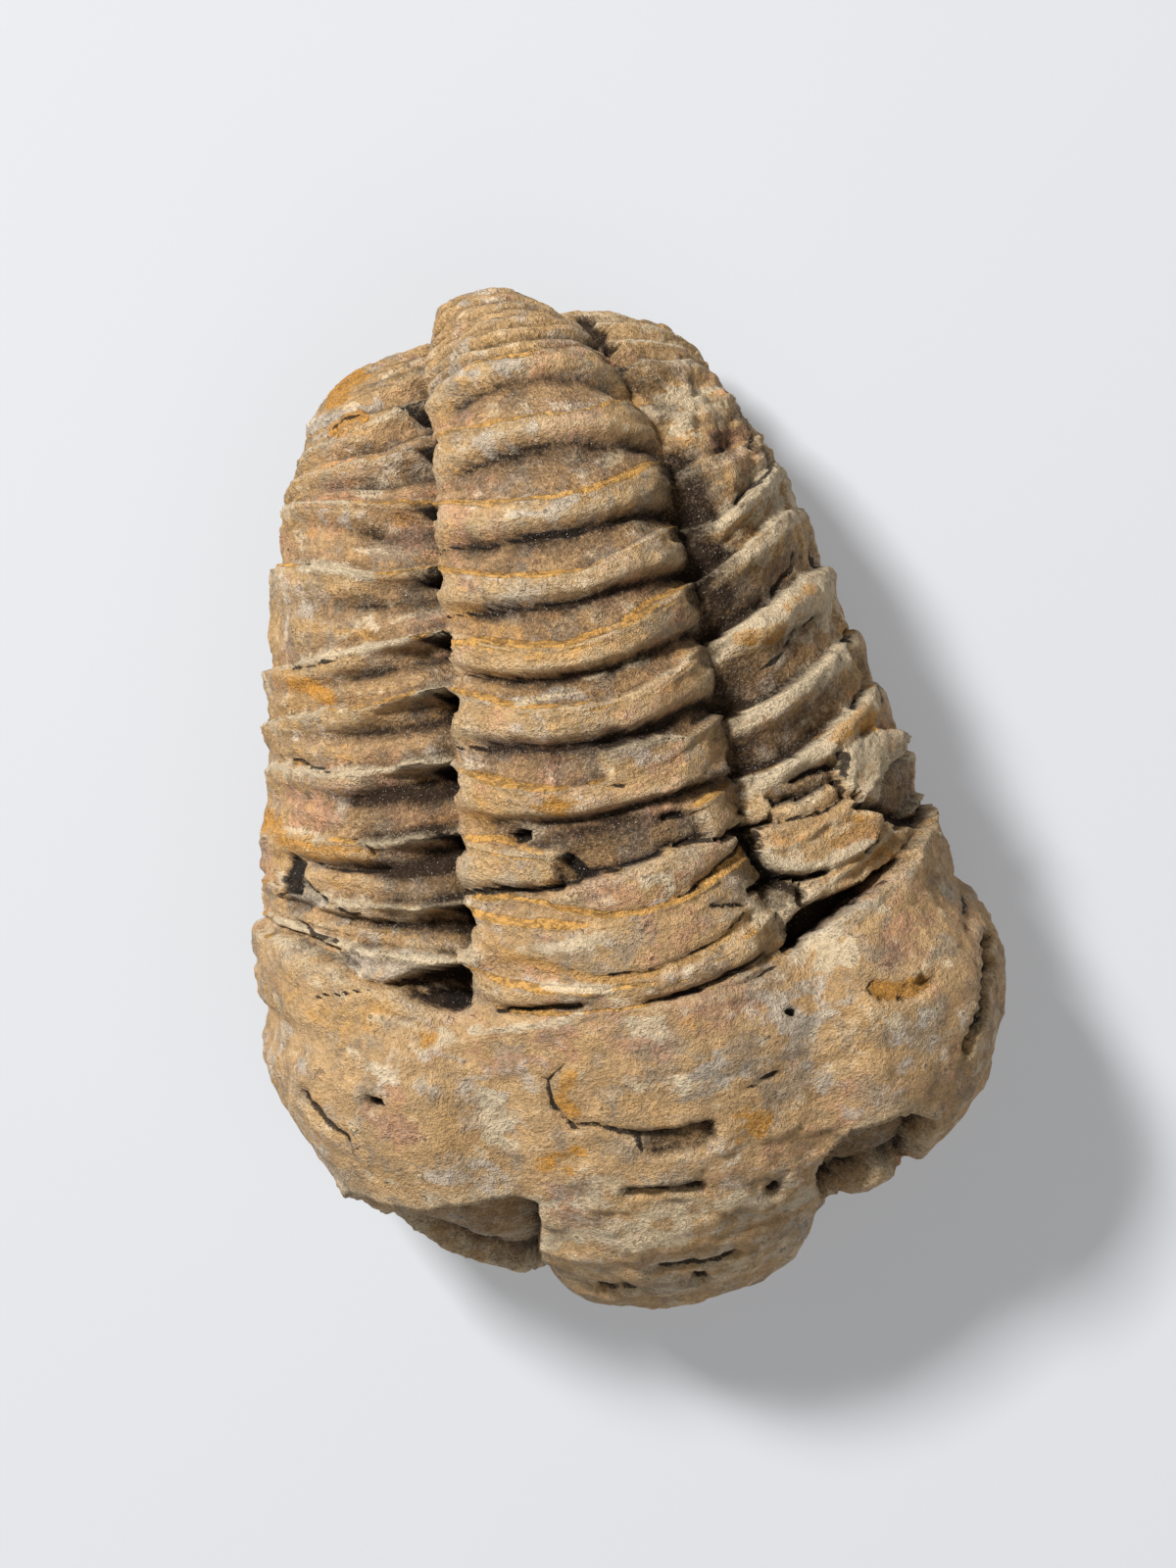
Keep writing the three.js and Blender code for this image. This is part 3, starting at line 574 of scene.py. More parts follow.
# Half width, depth and line of each of the cracks, slits and holes, cut down and drawn dark with a
# painted shadow line
CRACKS = [
    # Middle lobe
    (0.13, 0.9, [(-3, -4.7), (-2, -4.6), (-0.5, -4.3), (0.5, -4.4), (1.5, -4.2), (3, -4), (4.5, -3.4),
     (6, -3.3), (7.5, -3.6), (8, -3.3), (9, -2.9)]),
    (0.16, 0.8, [(-9, -4.1), (-7, -4.2), (-5, -4.6), (-3, -4.7)]),
    (0.4, 1.4, [(-5, -1.2), (-4.6, -1.1)]),
    (0.4, 0.7, [(-2.3, -3.1), (-1.8, -3.7), (-1.5, -4.2)]),
    (0.25, 0.4, [(4.3, -1.6), (5.6, -1.6)]),
    (0.12, 0.5, [(1.2, 1.1), (2.3, 0.9)]),
    (0.14, 0.6, [(4.2, -6.7), (6, -5.9), (7.5, -4.9), (8.8, -3.8)]),
    (0.1, 0.4, [(-1, -10.7), (2, -10.9), (4, -10.6), (6, -9.9), (8, -8.5)]),
    (0.12, 0.5, [(6.3, -7.7), (7.2, -7.8), (8.2, -7.9)]),
    (0.15, 0.9, [(-8.3, -11.9), (-6, -12.1), (-4, -12.4), (-3.1, -12.5)]),
    (0.15, 0.8, [(1.5, -12.8), (2.5, -12.9), (4, -12.8), (6, -12.3), (8, -11.6), (9, -11.2)]),
    (0.09, 0.4, [(8, -12.6), (10.2, -12.1)]),
    # Right ribs
    (0.2, 0.9, [(9, -7.1), (10, -6.6), (11.3, -6.5), (12, -6.8)]),
    (0.12, 0.5, [(8, -3.1), (9.3, -3.2), (11, -3), (12.6, -3), (14, -2.9), (14.9, -2.5)]),
    (0.1, 0.5, [(14.9, -2.4), (15, -1.3), (15.3, -0.6), (15.8, 0.6)]),
    (0.15, 0.5, [(9.2, -3.5), (9.6, -5), (10.3, -5.9), (11.2, -6.6), (12.6, -6.8), (13.4, -6.7)]),
    (0.14, 0.4, [(15.9, -5.9), (16.5, -5.2), (17, -4.3)]),
    (0.2, 0.8, [(17.9, 8), (18.3, 6), (18.3, 5), (18, 4), (17.4, 3.3)]),
    (0.08, 0.4, [(18.9, 6), (19.2, 4.5), (19.1, 3)]),
    (0.08, 0.4, [(19.6, 3.6), (19.9, 2), (19.8, 0.6), (19.3, -0.5), (18.2, -1.7)]),
    (0.16, 0.7, [(12.9, -0.7), (13.8, -0.4), (15, -0.1)]),
    (0.1, 0.4, [(11.4, 6.2), (13, 7.2), (14.6, 8.6), (16, 9.4)]),
    (0.1, 0.4, [(13.5, 11.4), (14.9, 12.6), (15.4, 13.6)]),
    (0.1, 0.4, [(12, 17.3), (13.2, 18.2), (14.1, 18.5), (14.8, 19.4)]),
    (0.1, 0.5, [(13.9, 20.6), (14, 21.8), (13.8, 23)]),
    (0.3, 0.8, [(16.8, 13.7), (16.9, 12.6)]),
    # Left ribs
    (0.14, 0.6, [(-19, -1.8), (-18.5, -2.6), (-18, -3)]),
    (0.12, 0.5, [(-19.7, -4.2), (-18.5, -5.3), (-17.8, -5.7)]),
    (0.1, 0.4, [(-17, -3.7), (-16, -4.2)]),
    (0.1, 0.4, [(-15.3, 0.6), (-14.2, -0.6)]),
    (0.1, 0.4, [(-18, -0.6), (-16.5, -1.3), (-15, -1.7), (-13.5, -1.8)]),
    (0.1, 0.4, [(-18.3, 6.3), (-17.5, 5.8), (-16, 5)]),
    (0.12, 0.5, [(-17.4, 11.9), (-16, 11.9), (-14.5, 12.1)]),
    (0.05, 0.5, [(-16.6, 19.6), (-16.2, 19.1)]),
    (0.1, 0.4, [(-15.4, 18.3), (-15, 18.1)]),
    (0.03, 0.5, [(-12, 26.3), (-11.2, 26.7), (-10.2, 26.9)]),
    (0.1, 0.35, [(-19.5, -8.9), (-18, -9), (-16, -9.1)]),
    # Head slab
    (0.28, 1.1, [(-17.3, -16.1), (-16.7, -16.3)]),
    (0.16, 0.7, [(-21.3, -14.8), (-20.4, -16.4), (-19, -18.2)]),
    (0.12, 0.9, [(-4.6, -16.2), (-5.4, -16.4), (-6.1, -17.1), (-6.1, -18.2), (-5.6, -19.1),
     (-5.1, -19.6)]),
    (0.12, 0.6, [(-5, -19.9), (-3.5, -20), (-2, -20.7), (-1, -21), (-0.8, -22.3)]),
    (0.05, 0.2, [(-0.6, -21.2), (1.5, -21.3), (3.9, -20.9)]),
    (0.1, 0.4, [(9.8, -26), (10.7, -24.7), (13, -23.7), (16.4, -23)]),
    (0.2, 1, [(-2, -24.7), (0, -25), (2.5, -25.2)]),
    (0.25, 0.8, [(7, -26.2), (7.2, -26)]),
    (0.25, 0.8, [(10, -15.1), (10.1, -15.3)]),
    (0.1, 0.5, [(6.5, -19.5), (8.5, -18.6)]),
    (0.1, 0.3, [(16.2, -14.1), (15.4, -14.2), (15, -14.7), (15.5, -15.3), (16.6, -15.6),
     (17.8, -15.5)]),
    (0.2, 0.9, [(23.2, -12.7), (23.1, -14.2), (22.1, -16.8), (20.8, -19.4)]),
    (0.12, 0.5, [(22, -5), (22.3, -8), (22, -11)]),
    (0.25, 0.9, [(-4.8, -30.4), (-3.4, -30.6), (-2, -31)]),
    (0.14, 0.6, [(-1, -29.8), (2, -30), (4, -29.5)]),
    (0.25, 0.8, [(1.3, -30.8), (1.8, -30.8)]),
]
# How high the edges of shell stand, and the half width under which one is drawn as a thin line
CREST_HEIGHT = 0.18
THIN_EDGE = 0.24
# By tint: strength, half width and line of each thin proud edge of shell
CRESTS = {
    "gold": [
        (1, 0.2, [(-7.2, 11.8), (-5, 11.6), (-2.5, 10.9), (0, 10.4), (3, 10.9), (5, 11.8),
         (7.8, 12.8)]),
        (1, 0.2, [(-8, -0.6), (-7.2, -0.9), (-6, -1.1), (-5.4, -1.5), (-3.8, -2.3)]),
        (1, 0.2, [(-8, -4.4), (-6, -4.8), (-4, -5.6), (-2, -6.5), (0, -7.1), (2, -7.3), (4, -6.9),
         (6, -6.2), (7.5, -5.2), (8.8, -4)]),
        (1, 0.25, [(-7, -8.4), (-5.5, -9), (-4, -9.9), (-2, -10.8), (0, -11.1), (2, -11.2), (4, -10.9),
         (6, -10.2), (7.5, -9), (8.4, -8.4)]),
        (0.8, 0.25, [(-16.4, 14.6), (-14, 13.7), (-11.5, 12.7)]),
        (0.9, 0.15, [(-18.2, 6.1), (-17.3, 5.6), (-16, 4.8)]),
        (0.8, 0.2, [(19.2, 1.8), (18.9, 0.2), (17.6, -1.3), (16.4, -2)]),
        (0.6, 0.2, [(-21.8, -15), (-20.8, -16.8), (-19.4, -18.6)]),
    ],
    "cream": [
        (1, 0.12, [(-3.5, 7.2), (-1.5, 7.3), (0, 7.5)]),
        (1, 0.12, [(0.8, 8), (3, 8.3), (5, 8.5)]),
        (1, 0.14, [(1.2, 3.4), (2.5, 3.35), (3.8, 3.5), (6, 3.3)]),
        (0.9, 0.14, [(2, -5.7), (3, -5.4), (3.7, -5.5), (3.8, -6.4)]),
        (0.8, 0.25, [(-6, -8.2), (-4, -8.4), (-1, -8.4)]),
        (0.8, 0.22, [(-5, -10.7), (-4, -11.2), (-1.5, -11.5)]),
        (0.8, 0.15, [(-10, -12.8), (-8, -13.1), (-5, -13.2), (-3.2, -12.9)]),
        (0.9, 0.15, [(-9, -4.1), (-10, -4.1), (-11.5, -4.4), (-13, -4.9), (-13.8, -5.7)]),
        (0.8, 0.3, [(-15.6, 18), (-14, 17.8), (-12.4, 17.3), (-11.2, 16.6)]),
        (0.8, 0.3, [(12.2, 0.1), (13.4, 0.6), (14.6, 1), (15.6, 1.4)]),
        (0.8, 0.3, [(11.4, 4.6), (13, 4.9), (14.5, 5.3), (16, 6.2), (17.6, 7.4)]),
        (0.9, 0.5, [(10.8, 9), (12.4, 9.5), (14.3, 10.2), (16.6, 10.6)]),
        (0.6, 0.4, [(10.6, 16.1), (12, 16.8), (13.4, 17.8), (14.6, 18.4)]),
        (1, 0.25, [(9.5, -4.7), (10.3, -5.4), (11.2, -5.9), (12.4, -6.3), (13.6, -6.2), (15.6, -5.6)]),
    ],
    "amber": [
        (0.9, 0.5, [(-18.2, 11.8), (-16.8, 10.8), (-15.3, 9.8)]),
        (1, 0.5, [(-11.6, 28.3), (-10.9, 29), (-10, 29.6)]),
        (0.8, 0.6, [(-20.8, 3), (-19.6, 1.2), (-17.8, 0.2), (-15.8, -0.2), (-14.5, -0.7)]),
        (1, 0.3, [(-12, 26.2), (-11, 26.6), (-10, 26.8)]),
        (0.8, 0.3, [(10.7, 8.8), (12, 9), (13.5, 9.2)]),
        (0.9, 0.3, [(14.3, 10.3), (15.9, 11.2)]),
        (1, 0.4, [(15.9, 1.6), (16.9, 2.1), (17.8, 2.8)]),
        (0.7, 0.3, [(15.5, -3.6), (16.5, -3.9)]),
        (1, 0.3, [(15.7, -14.9), (17, -15.05), (18.4, -14.8)]),
        (1, 0.45, [(-4.6, -16.8), (-5.1, -17.4), (-5.2, -18.2), (-4.6, -19)]),
    ],
    "slate": [
        (0.9, 0.35, [(-13.3, 26.6), (-11.5, 27.1), (-9, 27.4)]),
        (0.8, 0.3, [(11, -11.4), (12.6, -10.5), (14.4, -9.8), (16, -9.1)]),
    ],
}
# Outlines that the stone is cut down or built up to, the level there (None leaves it), the rise
# on top of that, the width of their edge, and tints
# The tint of grime and shade in these paints shade into recesses, paints holes black as painted shadow
# where it is 1, and clears painted shade where it is below 0
PLATES = [
    # Middle lobe: the faces of three rings, and the recess of the broken one between them
    ([(0.8, 3.4), (4, 3.6), (6.2, 3.3), (8.5, 4.6), (9, 2.6), (8.2, 0.5), (4, -0.2), (1.2, 0.2)], 0, 0,
     0.12, {"band": 1}),
    ([(-3.4, -4.7), (-3.1, -3.3), (-2.2, -2.7), (-3.9, -2.2), (-4.4, -1.6), (0, -1.1), (6.3, -1.3),
     (6.8, -3.2), (4.5, -3.5), (3, -4.1), (0, -4.5)], -1, 0, 0.12, {"band": -1, "hollow": 0.5}),
    ([(-3, -4.9), (0, -4.6), (3, -4.3), (4.6, -3.6), (8.4, -3.6), (8, -4.6), (6, -6), (4, -6.8),
     (0, -7), (-4, -5.5)], 0.1, 0, 0.1, {"band": 0.8, "rust": 0.4}),
    ([(-6, -8.4), (-1, -8.6), (2, -7.9), (6, -7.8), (8.4, -8.4), (6, -9.9), (2, -10.9), (-2, -10.5)], 0,
     0.1, 0.12, {"band": 0.9}),
    # Right ribs: broken ground, gap, ribs, splinter, ledges and rim
    ([(8, -3.4), (12, -1.6), (17, -2.6), (20.4, -4.4), (20, -6.1), (17, -7.4), (12, -8.6), (10.4, -7.4),
     (9.2, -5)], -1, 0, 0.15, {"hollow": 0.35}),
    ([(10.3, -11.2), (10.7, -9.8), (12.2, -8.6), (14, -8.2), (17, -7.3), (19, -6.6), (20, -6),
     (19.4, -6.9), (18.2, -7.8), (17, -8.4), (15, -9.3), (13, -10), (11.5, -11)], -2.8, 0, 0.15,
     {"hollow": 1}),
    ([(11.4, -6.9), (13.3, -6.8), (14.2, -6.2), (16, -5.8), (16.8, -4.3), (17.8, -4.1), (18.6, -4.8),
     (20.4, -5.2), (20, -5.9), (19, -6.5), (17.3, -7.2), (15, -8), (12.3, -8.4)], -0.1, 0, 0.12,
     {"band": 1, "hollow": -1, "gold": 0.4}),
    ([(8, -3), (9, -2.3), (9.8, -1.6), (10.7, -1.4), (11, -1.9), (10.5, -2.6), (9.4, -3)], 0.4, 0, 0.12,
     {"band": 1, "hollow": -1, "cream": 0.3}),
    ([(10.8, -2), (13, -2), (14.5, -1.4), (15.2, -1.6), (15.2, -3), (13.5, -3.1), (10.8, -3.1)], 0.1, 0,
     0.12, {"band": 1, "hollow": -1}),
    ([(11.4, -0.6), (13.4, 0), (15.1, 0.4), (15, -0.9), (13.6, -1.4), (11.4, -1.6)], -0.15, 0, 0.4,
     {"hollow": 0.2, "rust": 0.4}),
    ([(18.2, -1.9), (19.6, -0.4), (20.6, -0.8), (20.6, -4.6), (18.6, -4.6), (17.6, -3.4)], None, -0.4,
     0.2, {"hollow": 0.5}),
    ([(8.6, -8), (9.6, -7.4), (11.5, -7.2), (11, -9.3), (10.2, -11), (9, -10)], 0, 0, 0.2,
     {"cream": 0.3, "band": 0.6}),
    # Left ribs: hole, holes in the flank, grey block and knob
    ([(-14.2, -9.8), (-13, -10.8), (-12.3, -11.2), (-10, -11.3), (-9.8, -10.1), (-12, -9.9)], None,
     -2.2, 0.2, {"hollow": 1}),
    ([(-15.2, -8.7), (-12, -8.5), (-10, -8.4), (-9.8, -10.1), (-14, -9.9)], None, -0.9, 0.15,
     {"hollow": 0.3}),
    ([(-19.3, 0.3), (-18.6, -0.5), (-19, -1.3), (-19.7, -2.2), (-20.5, -2.2), (-20.2, -1.2),
     (-19.8, -0.2)], None, -0.4, 0.1, {"hollow": 1}),
    ([(-19.9, -2.1), (-19, -1.4), (-18, -3), (-18.9, -3.4), (-20, -3.6), (-20.6, -2.8)], None, -0.4,
     0.12, {"slate": 0.6, "hollow": 0.4}),
    ([(-17, -6.2), (-14.6, -6.6), (-11.5, -7.4), (-10, -8.1), (-10, -8.5), (-12, -8.6), (-15, -8.9),
     (-16.6, -8.2)], 0.3, 0, 0.12, {"slate": 1, "hollow": -1}),
    ([(-17, -6.2), (-16.2, -6.3), (-15.8, -7.9), (-16.8, -7.4)], None, -0.2, 0.12, {"hollow": 0.6}),
    ([(-15.2, -6.6), (-13.4, -6.9), (-13.8, -7.9), (-15.2, -7.9)], None, 0, 0.4, {"hollow": 0.3}),
    ([(-10, -7.6), (-8.8, -7.5), (-8, -8.2), (-8.3, -9), (-9.6, -8.9)], None, 1.1, 0.3,
     {"cream": 0.5, "hollow": -1}),
    # Head slab: window, comma pit, two notches and slot
    ([(-0.5, -21.2), (4, -21), (4.2, -21.8), (3.6, -22.8), (1.5, -22.9), (-0.5, -22.6)], None, -0.7,
     0.06, {"hollow": 0.5}),
    ([(15.1, -14.6), (15.6, -14.1), (17.2, -14.6), (19.8, -14.3), (19.2, -15.1), (17.6, -15.6),
     (15.8, -15.5)], None, -0.6, 0.15, {"amber": 1, "hollow": 0.15}),
    ([(9.9, -27.2), (9.9, -25.5), (11, -24.5), (13, -23.5), (16, -23), (18, -23.6), (16, -26)], None,
     -2, 0.2, {"hollow": 0.5}),
    ([(-19.5, -22), (-15.5, -23.8), (-9.5, -23.8), (-8, -24.5), (-8.6, -30), (-20, -30)], None, -2, 0.3,
     {"hollow": 0.35}),
    ([(23.5, -12.6), (23.3, -14.2), (22.3, -17), (20.9, -19.6), (20.4, -19.4), (21.8, -16.8),
     (22.8, -14.2), (23, -12.7)], None, -0.5, 0.1, {"hollow": 1}),
    # Upper right flank and tail
    ([(11, 20.2), (12.8, 20), (13.2, 21.8), (12.2, 22.6), (11.2, 22)], None, -0.2, 0.4,
     {"rust": 0.9, "hollow": 0.5}),
    ([(8.8, 22.2), (10.2, 22.2), (10.6, 23.2), (9.4, 23.5)], None, 0.5, 0.3, {"cream": 0.4}),
    ([(4.2, 30.8), (5.6, 30.3), (5.4, 29.7), (6.2, 29.4), (6, 28.8), (6.9, 28.4), (5.9, 27.9),
     (5.4, 28.6), (4.7, 29.5)], None, -0.4, 0.12, {"hollow": 0.8}),
]
# Outline of each flat flake of shell, its height over the skin's own mean plane, and tints
FLAKES = [
    ([(9, -3.2), (11.4, -3.1), (14.9, -2.7), (17, -3.5), (16.9, -4.3), (16.3, -5.6), (14.7, -6.3),
      (12, -6.8), (10.7, -6.2), (9.6, -4.8)], 0.35, {"rust": 0.4, "gold": 0.4}),
    ([(15.1, -0.6), (15.7, 0.5), (16.8, 1), (18, 1.6), (19, 1.2), (19.4, 0.5), (19, -0.4),
      (18, -1.3), (17, -2.4), (16, -3), (15.1, -2.2)], 0.4, {"rust": 0.3, "cream": 0.7}),
]
# By tint: strength, softness and outline of each stain
STAINS = {
    "slate": [
        (0.9, 0.6, [(-3.5, 28.6), (-0.5, 29.4), (0.6, 28.6), (-2.8, 27.4)]),
        (0.9, 0.6, [(-3.2, 24), (1, 24.6), (1.2, 23.2), (-2.8, 22.6)]),
        (0.8, 0.6, [(-2.5, 19.3), (2, 19.6), (2, 18.4), (-2.3, 18)]),
        (0.7, 0.6, [(-4.3, 14.2), (-2, 14.4), (-2.2, 13), (-4, 13)]),
        (0.9, 0.3, [(-13.8, 21.6), (-12, 21.4), (-12, 20.3), (-13.8, 20.5)]),
        (0.7, 0.5, [(-7.5, 8.6), (-3, 7.8), (-0.5, 7.6), (-1, 7), (-6, 8)]),
        (0.8, 0.8, [(7.5, -27), (9.8, -26.6), (10.4, -29), (8, -29.6)]),
        (0.4, 1.2, [(11, -19), (12.6, -19.4), (12, -21.6), (10.6, -21)]),
        (0.6, 1.2, [(-12, -14.5), (-5, -14.6), (-6.6, -17), (-8, -20), (-12, -19)]),
        (0.6, 1, [(-16.5, -21), (-10, -20.4), (-9, -23), (-14, -23.4)]),
        (0.6, 1, [(8, -13.6), (14, -14), (14, -17), (9, -16.6)]),
        (0.6, 0.8, [(-22, -12.6), (-21.2, -12.4), (-20.9, -14), (-21.8, -14)]),
        (0.8, 0.8, [(2, -19), (6, -19), (8, -17), (5, -16.8), (2, -17.6)]),
        (0.4, 1.2, [(10, -18), (12, -17), (12.6, -19.6), (10.4, -20.4)]),
        (0.7, 1, [(16, -17), (20, -16), (20, -18.6), (16, -20)]),
        (0.9, 0.3, [(11.5, -0.9), (12.7, -0.9), (12.7, -1.6), (11.4, -1.7)]),
        (0.9, 0.3, [(-2.8, 33.7), (-0.6, 33.8), (-0.8, 33), (-2.8, 32.9)]),
    ],
    "rust": [
        (0.7, 0.8, [(-17.4, -14.6), (-14.6, -15), (-14, -19), (-16.4, -19.4)]),
        (0.8, 0.6, [(-8.4, 11.6), (-6, 11.8), (-6.2, 9.8), (-8.2, 9.6)]),
        (0.8, 0.6, [(-7, 20), (-5, 19.8), (-5.4, 18), (-7.2, 18.4)]),
        (0.7, 0.6, [(-8.6, 2.6), (-6.6, 2.8), (-6.6, 0.8), (-8.6, 0.8)]),
        (0.8, 0.8, [(-8.3, -24.3), (-5.5, -24.2), (-5.6, -26.6), (-8.2, -26.8)]),
        (0.8, 0.8, [(-10, -13.6), (-4, -14), (-4, -16), (-10, -16)]),
        (0.8, 0.6, [(3.4, -14), (8.6, -13.6), (8.4, -15.4), (3.6, -15.6)]),
        (0.8, 0.8, [(16, -10.6), (20, -10), (20, -13), (16, -13.4)]),
        (1, 0.2, [(-1, 33.1), (0.4, 33.1), (0.6, 32.5), (-0.8, 32.4)]),
        (0.9, 0.5, [(-19.8, 4.6), (-17, 3.6), (-15.4, 2.2), (-16.4, 1.2), (-18.6, 1.8)]),
    ],
    "amber": [
        (0.9, 0.4, [(-3.8, 0.5), (-2.5, 1.1), (-1.3, 0.6), (-2, 0), (-3.5, 0)]),
        (1, 0.4, [(-12, 28.6), (-9.8, 29.7), (-10, 28.8), (-12, 27.8)]),
        (0.8, 0.5, [(-15.4, -11.4), (-12.6, -12), (-13, -13.2), (-15.4, -12.6)]),
        (0.7, 0.6, [(-8, -21), (-4, -21.4), (-4.6, -23), (-8, -22.4)]),
        (0.7, 0.6, [(5, -20.4), (7.6, -20), (7.4, -23), (5, -23.4)]),
        (1, 0.3, [(10.7, 9.2), (13.8, 9.2), (13.6, 8.4), (11, 8.5)]),
        (1, 0.3, [(15.2, 1.3), (16.6, 2.5), (18.6, 2.9), (18, 2.1), (16.4, 1.2)]),
    ],
    "gold": [
        (0.5, 1, [(-15, 25.6), (-12.5, 25.6), (-13, 24), (-14.8, 23.6)]),
        (0.5, 1, [(-16, 22.8), (-14.2, 22.6), (-14.4, 20.8), (-15.8, 21)]),
        (0.5, 0.8, [(-20, -10), (-14, -9.6), (-14, -12), (-19, -13)]),
        (0.6, 0.6, [(-5, -17), (-3.6, -17.4), (-3.8, -19), (-5, -19)]),
        (0.35, 1.5, [(-3, -26), (4, -26), (5, -29), (-3, -29)]),
        (1, 0.25, [(14.3, 10.1), (15.9, 11.3), (16, 10.6), (14.8, 9.9)]),
    ],
    "cream": [
        (1, 0.6, [(12.2, -10.8), (15, -10.2), (14.6, -13.2), (12.4, -13)]),
        (0.9, 0.4, [(15.6, -9.6), (17, -9), (17.2, -10), (16, -10.4)]),
        (0.9, 0.4, [(19, -8), (20.6, -7.4), (21, -9.6), (19.8, -9.4)]),
        (0.8, 0.5, [(9, -12.6), (11.8, -11.6), (11.6, -12.6), (9.4, -13.4)]),
        (1, 0.6, [(-0.2, -13.8), (2, -14), (1.8, -15.6), (0, -15.4)]),
        (0.8, 0.6, [(-14.4, -11.6), (-10, -12.4), (-10.4, -13.8), (-14.2, -13.2)]),
        (0.8, 0.5, [(-18, -12.8), (-15, -13.6), (-15.4, -14.4), (-18, -13.8)]),
        (0.7, 0.6, [(-11, -17), (-9.6, -16.8), (-9.4, -20), (-10.6, -20)]),
        (0.7, 0.5, [(0.4, -17.4), (2.4, -17.2), (2.4, -18.6), (0.6, -18.4)]),
        # Pale crust of the right flank's plates, made lighter as painted light where they face the key
        # light
        (1, 0.4, [(11.1, 14.3), (13.3, 14.4), (13.4, 13.1), (11.4, 13)]),
        (1, 0.4, [(8.3, 25.1), (13.3, 25), (13.2, 24.1), (8.6, 24)]),
        (1, 0.3, [(8.9, 23), (10.8, 23.2), (10.8, 22), (9.2, 22)]),
        (1, 0.4, [(10.5, 16.2), (12, 17.3), (14.8, 19.8), (15.7, 19.2), (15.8, 17.7), (16.6, 16.3),
         (15.7, 15.2), (14, 16), (12, 15.7)]),
        (1, 0.4, [(10.5, 9), (12, 9.8), (14.1, 10.4), (15.9, 11.5), (17.5, 11.2), (17.5, 9.6),
         (16.5, 8), (13.8, 8.2), (11.4, 8.4)]),
        (1, 0.3, [(10.9, 4.5), (13.2, 5.2), (16, 6.9), (17.6, 7), (17.6, 6), (13, 4.3), (10.9, 3.8)]),
        (1, 0.3, [(12, 0.5), (14.2, 1), (15.4, 1.8), (15, 0.6), (12.5, 0)]),
        (0.5, 0.6, [(-13.8, 14.2), (-12, 14), (-12, 13.2), (-13.6, 13.4)]),
        (0.6, 0.4, [(-17.3, -2.9), (-15.5, -3.2), (-15.5, -3.9), (-16.8, -3.6)]),
    ],
    # Painted shade: the shadow of the middle lobe on the right furrow and upper right flank, and under
    # two left lips
    "hollow": [
        (0.5, 0.6, [(7.2, 21), (9.5, 21), (11, 19.6), (11, 17), (10.4, 15.5), (11.3, 13.5),
         (10.8, 11.5), (8.5, 11.5), (8, 16)]),
        (0.5, 0.5, [(6.3, 27.2), (8.2, 27.2), (9.9, 26.2), (9.8, 25.4), (8, 25), (6.8, 25.6)]),
        (0.5, 0.4, [(8, 24.3), (9.6, 24.3), (9.7, 23.4), (8.2, 23.3)]),
        (0.55, 0.4, [(13.5, 23), (14.3, 21.8), (14.6, 20.4), (13.9, 19.6), (13.5, 20.8)]),
        (0.35, 1, [(-15, 3.4), (-9.5, 3.8), (-9.8, 0.4), (-14.2, -0.2)]),
        (0.35, 1, [(-14.5, -0.8), (-9.6, -0.2), (-9.8, -3.8), (-13.6, -4.4)]),
        (0.2, 0.8, [(9.2, 21), (11, 19), (11.4, 12), (10.6, 4), (10.4, -1), (8.8, 2), (8.8, 12)]),
    ],
}
# Where the right flank crumbles, and size and noise level of the thin broken layers of shell
CRUMBLY_ALONG = [(22, 0), (27, 1), (36, 1), (42, 0), (50, 0)]
SHELL_LAYERS = ((3.5, 0.16), (3.5, -0.22), (2.2, 0.1), (1.6, 0.2))
LAYER_THICKNESS = 0.035


def plane_relief(skin, inside):
    """Relief that brings the skin onto the plane that fits the marked part of it best."""
    part = skin.base[inside & (skin.seen > 0.5)]
    level = np.column_stack([part[:, :2], np.ones(len(part))])
    (slope_x, slope_y, height), *_ = np.linalg.lstsq(level, part[:, 2], rcond=None)
    gap = slope_x * skin.base[..., 0] + slope_y * skin.base[..., 1] + height - skin.base[..., 2]
    out = skin.out_of_body
    lift = out[..., 2] - slope_x * out[..., 0] - slope_y * out[..., 1]
    return np.clip(gap / np.maximum(lift, 0.3), -2, 2)


def cut_plates(skin, x, y):
    """Cuts the skin down, or builds it up, to each of the plates."""
    for outline, level, rise, edge, tints in PLATES:
        within = outline_distance(x, y, outline)
        inside = smoothstep(within, -edge, edge) * skin.seen
        if level is not None:
            skin.relief = lerp(skin.relief, level, inside)
            for line in ("edge", "crack"):
                skin.tint[line] *= 1 - inside
        skin.relief += rise * inside
        for tint, amount in tints.items():
            skin.mark(tint, amount * inside)
        # A hole with full shade is painted black as shadow all over
        if tints.get("hollow") == 1:
            skin.draw("crack", np.maximum(-within, 0), 0, skin.seen)


def lay_flakes(skin, x, y):
    """Flat flakes of shell, clear of painted shade, grime and lines but for their own tints."""
    for outline, rise, tints in FLAKES:
        within = outline_distance(x, y, outline)
        inside = smoothstep(within, -0.1, 0.1) * skin.seen
        skin.relief = lerp(skin.relief, plane_relief(skin, within > 0) + rise, inside)
        for tint, amount in {"edge": -1, "hollow": -1, "band": 1, **tints}.items():
            skin.mark(tint, amount * inside)
        skin.tint["crack"] *= 1 - inside


def raise_crests(skin, x, y):
    """Proud edges of shell, the thin ones drawn as golden lines that are partly painted highlight on
    their lit edge.
    """
    for tint, crests in CRESTS.items():
        for strength, half_width, line in crests:
            distance = line_distance(x, y, line)
            crest = hump(distance, half_width + 0.12) * skin.seen
            skin.height += CREST_HEIGHT * crest
            if half_width < THIN_EDGE:
                skin.draw("edge", distance, half_width * 0.6, skin.seen * strength)
                skin.mark("cream", crest * (tint == "cream"))
            else:
                skin.mark(tint, strength * crest)


